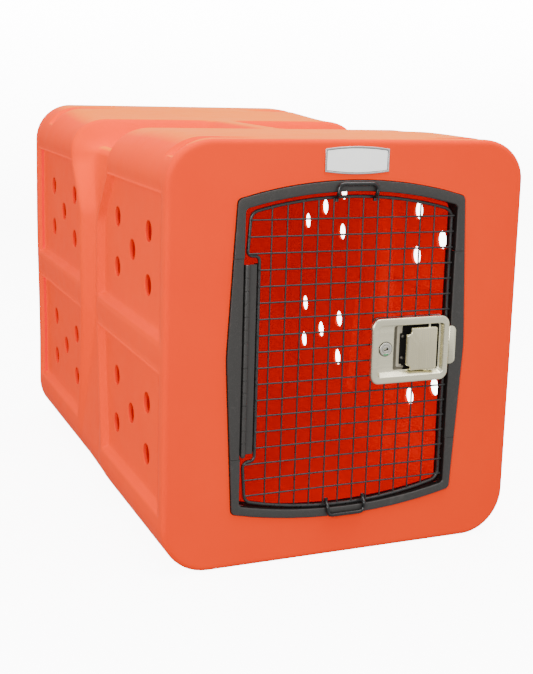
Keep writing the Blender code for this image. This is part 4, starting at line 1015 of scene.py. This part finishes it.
PAN = ((35.5, 175.5), (279.5, 386.5), 15.0)
RECESS = ((48.0, 165.0), (291.5, 374.0), 5.0)
SHELF = ((49.2, 161.6), (298.2, 373.2), 4.5)
POCKET_TOP = ((77.6, 160.0), (299.8, 372.3), 3.6)
POCKET = ((87.3, 156.6), (303.6, 371.0), 3.0)
WELL = ((96.5, 154.0), (306.0, 369.5), 2.0)
BASE_PLATE = ((38.7, 172.0), (282.7, 383.3), 12.0)
PAN_FRONT = -479.5
PAN_SKIRT = -471.8
SHELF_Y = -472.5
POCKET_Y = -464.5
SHEET = 1.3
PAN_ROLL = 2.8
RECESS_LIP = 1.9
BASE_Y = (-471.5, -469.6)
TAB_X = 188.5
TAB_Z = (305.0, 368.0)
TAB_FRONT = -477.5
TAB_THICK = 1.9
TAB_CORNER = 8.0
TAB_EDGE = 0.45
PADDLE_X = (98.6, 153.4)
PADDLE_Z = (298.4, 368.9)
PADDLE_SHEET = 2.3
PADDLE_FRONT = PAN_FRONT + 0.3
PIVOT = (141.0, -473.5)
EAR = 2.0
LOCK = (63.0, 335.7)
LOCK_FACE = SHELF_Y - 1.9
LOCK_SIDES = 64
BRACKET_X = (91.8, 104.0)
BRACKET_Z = (307.8, 358.4)
BRACKET_SCREW_X = 96.2
BRACKET_SCREW_Z = (LOCK[1] - 17.6, LOCK[1] + 17.6)
SCREW_HEAD = ((0.0, 3.1), (0.9, 3.1), (1.5, 2.8), (2.0, 2.1), (2.2, 1.3), (1.6, 0.9), (1.5, 0.3))


def pan_ring(outline, y, grow, drop=0.0, rise=0.0):
    """A ring of the pan. drop and rise open its right part, where the paddle's heel turns inward."""
    made = []
    for x, depth, z in plate_ring(*outline, y, grow):
        share = float(ramp(x, 130.0, 135.0))
        made.append((x, depth, z + share * (rise if z > LOCK[1] else -drop)))
    return made


def pan_front():
    """Rings from the skirt over the rolled rim and down to the shelf and the pocket.

    The number of the last ring before the pocket's wall comes with them."""
    rings = [pan_ring(PAN, PAN_SKIRT, 0.0)]
    rings += [pan_ring(PAN, PAN_FRONT + back, -inward) for inward, back in bend(PAN_ROLL, 6)]
    rings.append(pan_ring(PAN, PAN_FRONT + 0.12, -4.4))
    rings += [pan_ring(RECESS, PAN_FRONT + back, outward) for back, outward in bend(RECESS_LIP, 5, 62.0)]
    rings += [pan_ring(SHELF, SHELF_Y - lift, grow, 2.2, 0.3)
              for grow, lift in ((1.5, 1.7), (0.8, 0.8), (0.3, 0.25), (-0.3, 0.0))]
    rings += [pan_ring(POCKET_TOP, SHELF_Y + down, grow, 2.6, 0.3)
              for grow, down in ((0.5, 0.0), (0.2, 0.15), (-0.2, 0.6))]
    wall_from = len(rings) - 1
    rings += [pan_ring(POCKET, POCKET_Y - lift, grow, 4.4)
              for grow, lift in ((1.3, 1.2), (0.5, 0.45), (-0.4, 0.0))]
    rings += [pan_ring(WELL, POCKET_Y, 0.8), pan_ring(WELL, POCKET_Y + 0.4, 0.0)]
    return rings, wall_from


def build_pan():
    front, wall_from = pan_front()
    back = [pan_ring(PAN, PAN_SKIRT, -SHEET), pan_ring(PAN, PAN_FRONT + 3.2, -SHEET),
            pan_ring(PAN, PAN_FRONT + SHEET, -3.4), pan_ring(RECESS, PAN_FRONT + SHEET, 2.6),
            pan_ring(RECESS, PAN_FRONT + 2.6, 1.2), pan_ring(SHELF, SHELF_Y + 0.2, 1.2, 2.2, 0.3),
            pan_ring(SHELF, SHELF_Y + SHEET, 0.4, 2.2, 0.3),
            pan_ring(POCKET_TOP, SHELF_Y + SHEET, 0.6, 3.2, 0.4),
            pan_ring(POCKET, POCKET_Y + 0.6, 1.1, 5.6, 1.2), pan_ring(POCKET, POCKET_Y + SHEET, 0.3, 5.6, 1.2)]
    shape = Parts()
    shape.loft(front[::-1] + back)
    # The pocket's faces right of the well's left edge, and the well's floor, are painted near-black as shade;
    # the pocket's wall takes shaded nickel, a darker copy painted as shade.
    hollow, satin, shaded = 1, 2, 3
    around = len(front[0])
    for k in range((len(front) - 1 - wall_from) * around):
        corners = shape.faces[k]
        if sum(shape.verts[v][0] for v in corners) / len(corners) > WELL[0][0]:
            shape.kinds[k] = hollow
        else:
            shape.kinds[k] = satin if k < 3 * around else shaded
    shape.kinds[-2] = hollow
    materials = (NICKEL, PAINTED_SHADE, SATIN, SHADED_SATIN)
    piece("latch_dish", shape, materials, "door", ("latch_pan",), 50.0)


def build_bracket():
    """The lock bracket in the pocket, painted near-black as shade, with two domed screws."""
    shape = Parts()
    shape.block(BRACKET_X, (POCKET_Y - 2.4, POCKET_Y - 0.3), BRACKET_Z, 0.5)
    shape.kind = 1
    for z in BRACKET_SCREW_Z:
        shape.turned(SCREW_HEAD, (BRACKET_SCREW_X, POCKET_Y - 2.5, z), -Y_AXIS, 28)
    piece("pocket_bracket", shape, (PAINTED_SHADE, DARK_STEEL), "door",
          ("housing_screw_1", "housing_screw_2"))


def tab_section(x, front):
    """The tab's section at a place along it, narrower where its outer corners are rounded."""
    past = max(x - (TAB_X - TAB_CORNER), 0.0)
    cut = TAB_CORNER - math.sqrt(max(TAB_CORNER**2 - past**2, 0.0))
    low, high = TAB_Z[0] + cut, TAB_Z[1] - cut
    e, back = TAB_EDGE, front + TAB_THICK
    return [(x, front, low + e), (x, front + e, low), (x, back - e, low), (x, back, low + e),
            (x, back, high - e), (x, back - e, high), (x, front + e, high), (x, front, high - e)]


def build_mount_plate():
    """The plate behind the pan, with a tab that steps forward over the frame's face."""
    shape = Parts()
    front, back = BASE_Y
    window = (*grown(*RECESS[:2], 2.1), RECESS[2])
    shape.loft([plate_ring(*BASE_PLATE, front), plate_ring(*BASE_PLATE, back), plate_ring(*window, back),
                plate_ring(*window, front)], closed=True)
    step_x, step_end_x, flat_x = 172.0, 177.6, TAB_X - TAB_CORNER
    path = [(165.0, front), (step_x, front)]
    path += [(step_x + 2.4 * math.sin(a), front - 2.4 * (1 - math.cos(a))) for a in arc_steps(4, 0, 65)]
    path += [(step_end_x - 1.6 * math.sin(a), TAB_FRONT + 1.6 * (1 - math.cos(a)))
             for a in arc_steps(4, 65, 0)]
    path += [(flat_x + TAB_CORNER * math.sin(a), TAB_FRONT) for a in arc_steps(8)]
    shape.loft([tab_section(x, y) for x, y in path])
    piece("latch_base_plate", shape, (NICKEL,), "door", ("latch_mount_plate",), 50.0)


def inset_outline(outline, amount):
    """Moves a closed anticlockwise outline inward along its own normals."""
    made = []
    for i, (x, z) in enumerate(outline):
        along = (Vector(outline[(i + 1) % len(outline)]) - Vector(outline[i - 1])).normalized()
        made.append((x - along.y * amount, z + along.x * amount))
    return made


def paddle_outline():
    """The paddle's outline, with a wide heel on the right and a grip that stands out on the left."""
    left, right = PADDLE_X
    low, high = PADDLE_Z
    corners = [((left + 7.8, 0, low), 2.0), ((right, 0, low), 4.0), ((right, 0, high), 4.0),
               ((left + 7.8, 0, high), 2.0), ((left + 7.8, 0, high - 9.4), 3.4), ((left, 0, high - 10.6), 4.0),
               ((left, 0, low + 8.6), 4.0), ((left + 7.2, 0, low + 7.6), 3.0)]
    path = filleted(corners, closed=True)
    dense = []
    for i, p in enumerate(path):
        ahead = path[(i + 1) % len(path)]
        pieces = max(1, int((ahead - p).length / 4.0))
        dense += [(mix(p.x, ahead.x, k / pieces), mix(p.z, ahead.z, k / pieces)) for k in range(pieces)]
    return dense


def paddle_edge(x, z):
    """The rounding at a place on the paddle's outline: wide where the sheet is bent back."""
    left = PADDLE_X[0]
    level = min(z - PADDLE_Z[0], PADDLE_Z[1] - z)
    curl = 2.3 * float(ramp(x, left + 3.0, left))
    bent = 1.9 * float(ramp(level, 1.5, 0.0) * ramp(x, left + 10.0, left + 16.0))
    return 1.4 + max(curl, bent)


def build_paddle():
    outline = paddle_outline()
    edges = [paddle_edge(x, z) for x, z in outline]
    normals = [Vector(b) - Vector(a) for a, b in zip(outline, inset_outline(outline, 1.0))]

    def ring(share, lift):
        return [(x + normal.x * edge * share, PADDLE_FRONT + edge * lift, z + normal.y * edge * share)
                for (x, z), normal, edge in zip(outline, normals, edges)]

    shape = Parts()
    back = PADDLE_FRONT + PADDLE_SHEET
    shape.loft([at_depth(inset_outline(outline, 0.8), back + 2.4), at_depth(outline, back + 1.9),
                *(ring(*step) for step in bend(1.0, 7))])
    low, high = PADDLE_Z[0] + 11.0, PADDLE_Z[1] - 11.0
    curl = [(PADDLE_X[0] + 3.2 * (1 - math.cos(a)), PADDLE_FRONT + 4.4 + 2.7 * math.sin(a))
            for a in arc_steps(8, -20, 110)]
    curl_sheet = 1.6
    shape.loft([[(x, y, low), (x + curl_sheet, y - 0.2, low), (x + curl_sheet, y - 0.2, high), (x, y, high)]
                for x, y in curl])
    ear = [(PIVOT[0] - 8.0, PADDLE_FRONT + 1.2), (PIVOT[0] + 8.0, PADDLE_FRONT + 1.2)]
    ear += [(PIVOT[0] + 4.6 * math.cos(a), PIVOT[1] + 3.4 * math.sin(a)) for a in arc_steps(8, 0, 180)]
    for base in (PADDLE_Z[0] + 0.1, PADDLE_Z[1] - EAR - 0.1):
        shape.loft([[(x, y, z) for x, y in ear] for z in (base, base + EAR)])
    piece("pull_paddle", shape, (PADDLE_NICKEL,), "paddle", ("paddle",), 50.0)


def lock_circle(radius, y, angles):
    return [(LOCK[0] + radius * math.cos(a), y, LOCK[1] + radius * math.sin(a)) for a in angles]


def build_lock_ring():
    """The lock's bezel, in a recess ring painted near-black as shade."""
    face, shelf = LOCK_FACE, SHELF_Y
    profile = ((7.0, face + 3.0), (7.05, face + 0.35), (7.3, face + 0.05), (7.6, face), (9.4, face - 0.1),
               (10.3, face + 0.05), (10.8, face + 0.4), (11.0, face + 1.0), (11.05, shelf - 0.1),
               (12.0, shelf - 0.25), (12.15, shelf - 0.1), (12.15, shelf + 0.3), (9.5, shelf + 0.3),
               (9.5, face + 20.0), (7.0, face + 20.0))
    dark_from, dark_to = 7 * LOCK_SIDES, 11 * LOCK_SIDES
    shape = Parts()
    shape.loft([lock_circle(radius, y, turns(LOCK_SIDES)) for radius, y in profile], closed=True)
    shape.kinds[dark_from:dark_to] = [1] * (dark_to - dark_from)
    piece("lock_ring", shape, (CYLINDER, PAINTED_SHADE), "door", ("lock_barrel",))


def build_lock_plug():
    """The plug, with a keyway that leans a little."""
    shape = Parts()
    lean = Matrix.Rotation(math.radians(12), 2)
    keyway = [tuple(lean @ Vector(p)) for p in rounded_outline((-3.6, 3.6), (-1.8, 1.8), 1.3)]
    angles = [math.atan2(z, x) for x, z in keyway]
    face_rings = ((22.0, 6.7), (0.6, 6.7), (0.3, 6.55), (0.15, 6.2), (0.1, 4.6))
    rings = [lock_circle(radius, LOCK_FACE + along, angles) for along, radius in face_rings]
    for along, grow in ((0.12, 1.2), (0.4, 1.0), (5.5, 0.95)):
        rings.append([(LOCK[0] + x * grow, LOCK_FACE + along, LOCK[1] + z * grow) for x, z in keyway])
    shape.loft(rings)
    # The keyway's walls and floor are painted near-black as shade.
    face_count = len(keyway) * len(face_rings)
    shape.kinds[face_count:] = [1] * (len(shape.faces) - face_count)
    shape.kinds[-2] = 0
    piece("lock_core", shape, (CYLINDER, PAINTED_SHADE), "lock", ("lock_plug",))


def build_lock_mark():
    """A small painted arc on the bezel."""
    shape = Parts()
    sweep = arc_steps(14, -117.0, -61.0)
    shape.loft([lock_circle(7.7, y, sweep) + lock_circle(10.1, y, sweep[::-1])
                for y in (LOCK_FACE + 0.1, LOCK_FACE - 0.2)])
    piece("lock_mark", shape, (GREEN_MARK,), "door")


# ---------------------------------------------------------------- name plate

BADGE_HALF = 54.5
BADGE_Z = (618.5, 653.5)
BADGE_BOW = 4.0
BADGE_ARC = (BADGE_HALF**2 + BADGE_BOW**2) / (2 * BADGE_BOW)
BADGE_ROUND = 0.7
BADGE_RIM = 2.5
BADGE_FRONT = -473.0


def badge_ring(inset, y):
    xs = np.linspace(BADGE_HALF - inset, inset - BADGE_HALF, 25)
    top = [(x, y, arc_height(x, BADGE_Z[1] + BADGE_BOW - inset, BADGE_ARC, 1)) for x in xs]
    bottom = [(x, y, arc_height(x, BADGE_Z[0] - BADGE_BOW + inset, BADGE_ARC, -1)) for x in reversed(xs)]
    return top + bottom


def build_badge():
    """A blank plate with a raised rim."""
    rim = Parts()
    rings = [badge_ring(0.0, -471.3), badge_ring(0.0, -472.4)]
    rings += [badge_ring(u, BADGE_FRONT + v) for u, v in bend(BADGE_ROUND, 4)]
    rings += [badge_ring(BADGE_RIM - v, BADGE_FRONT + u) for u, v in bend(BADGE_ROUND, 4)]
    rim.loft([*rings, badge_ring(BADGE_RIM, -471.3)], closed=True)
    piece("badge_rim", rim, (RIM,), "kennel", ("name_plate_rim",))
    field = Parts()
    profile = ((2.55, -471.4), (2.55, -472.1), (3.3, -472.1), (3.6, -472.35), (7.0, -472.45))
    rings = [badge_ring(inset, y) for inset, y in profile]
    field.loft(rings)
    # The field's edge under the rim is painted near-black as shade.
    dark_count = 2 * len(rings[0])
    field.kinds[:dark_count] = [1] * dark_count
    piece("badge_field", field, (FIELD, PAINTED_SHADE), "kennel", ("name_plate_field",))


# ---------------------------------------------------------------- stage, light and camera, in metres

SWEEP_BEND = 1.6
SWEEP_DEPTH = 3.4
SWEEP_REACH = 9.0
BACKDROP_STRENGTH = 10.0
CAMERA_PLACE = (-0.81756, -2.10694, 0.77491)
CAMERA_TURN = (23.54, 10.47, 1.84)
CAMERA_LENS = 63.6826
CAMERA_SHIFT = (-0.035549, -0.075668)


def build_stage():
    """A pale studio sweep: a floor that bends up into a lit wall behind."""
    outline = [(-SWEEP_REACH, 0.0), (SWEEP_DEPTH, 0.0)]
    outline += [(SWEEP_DEPTH + SWEEP_BEND - v, u) for u, v in bend(SWEEP_BEND, 24)[1:]]
    outline.append((SWEEP_DEPTH + SWEEP_BEND, SWEEP_REACH))
    verts = [(x, y, z) for y, z in outline for x in (-SWEEP_REACH, SWEEP_REACH)]
    faces = [(2 * i, 2 * i + 1, 2 * i + 3, 2 * i + 2) for i in range(len(outline) - 1)]
    sweep = bpy.data.meshes.new("studio_sweep")
    sweep.from_pydata(verts, [], faces)
    sweep.shade_smooth()
    made = bpy.data.objects.new("studio_sweep", sweep)
    bpy.context.scene.collection.objects.link(made)
    n = Finish("pale_sweep")
    tint = n.blend(n.spread(n.noise(3.0, 2.0), 0.3, 0.7), (0.93, 0.93, 0.93), (0.91, 0.91, 0.91))
    n.link(Base_Color=tint, Emission_Strength=n.spread(n.coordinate(n.place, "Z"), 0.0, SWEEP_BEND, 9.0, 16.0))
    n.set(Roughness=0.9, Specular_IOR_Level=0.1, Emission_Color=(1.0, 1.0, 1.0, 1.0))
    sweep.materials.append(n.material)
    made.location.z = -0.0005
    made.visible_diffuse = False
    made.visible_glossy = False


def area_light(name, place, aim, size, power):
    lamp = bpy.data.lights.new(name, "AREA")
    lamp.size = size
    lamp.energy = power
    made = bpy.data.objects.new(name, lamp)
    made.location = place
    made.rotation_euler = (Vector(aim) - Vector(place)).to_track_quat("-Z", "Y").to_euler()
    bpy.context.scene.collection.objects.link(made)


def build_light():
    """A white backdrop to the camera; as a light it is dimmer from the left and from below."""
    world = bpy.data.worlds.new("studio")
    world.use_nodes = True
    sky = Graph(world.node_tree)
    background = sky.tree.nodes["Background"]
    background.inputs["Color"].default_value = (1.0, 1.0, 1.0, 1.0)
    place = sky.add("ShaderNodeTexCoord").outputs["Generated"]
    sideways = sky.spread(sky.coordinate(place, "X"), -0.75, 0.55, 0.42, 1.32)
    upward = sky.spread(sky.coordinate(place, "Z"), -0.55, 0.25, 0.58, 0.98)
    seen = sky.add("ShaderNodeLightPath").outputs["Is Camera Ray"]
    inputs = {"Factor": seen, "A": sky.combine(sideways, upward), "B": BACKDROP_STRENGTH}
    strength = sky.add("ShaderNodeMix", inputs).outputs["Result"]
    sky.tree.links.new(strength, background.inputs["Strength"])
    bpy.context.scene.world = world
    area_light("top_soft", (0.3, -0.2, 2.8), (0.0, 0.0, 0.4), 2.6, 128.0)
    area_light("front_left", (-1.9, -3.0, 1.2), (0.0, -0.2, 0.35), 1.8, 102.0)
    area_light("side_left", (-3.0, 0.1, 1.0), (-0.3, 0.0, 0.35), 1.8, 66.0)


def build_camera():
    """A camera in front and to the left, turned right by a yaw, down by a pitch and leant by a roll."""
    yaw, pitch, roll = (math.radians(a) for a in CAMERA_TURN)
    turn = Matrix.Rotation(-yaw, 4, "Z") @ Matrix.Rotation(math.pi / 2 - pitch, 4, "X")
    lens = bpy.data.cameras.new("camera")
    lens.lens = CAMERA_LENS
    lens.shift_x, lens.shift_y = CAMERA_SHIFT
    lens.clip_end = 60.0
    made = bpy.data.objects.new("camera", lens)
    made.matrix_world = Matrix.Translation(CAMERA_PLACE) @ turn @ Matrix.Rotation(roll, 4, "Z")
    bpy.context.scene.collection.objects.link(made)
    bpy.context.scene.camera = made


build_shell()
build_frame()
build_frame_leaf()
build_door_leaf()
build_wires()
build_stop_loop("loop_top", 1, 0.4, 32.9, 600.5, "stop_loop_top")
build_stop_loop("loop_bottom", -1, 1.5, 32.4, 70.0, "stop_loop_bottom")
build_pan()
build_bracket()
build_mount_plate()
build_paddle()
build_lock_ring()
build_lock_plug()
build_lock_mark()
build_badge()
build_stage()
build_light()
build_camera()
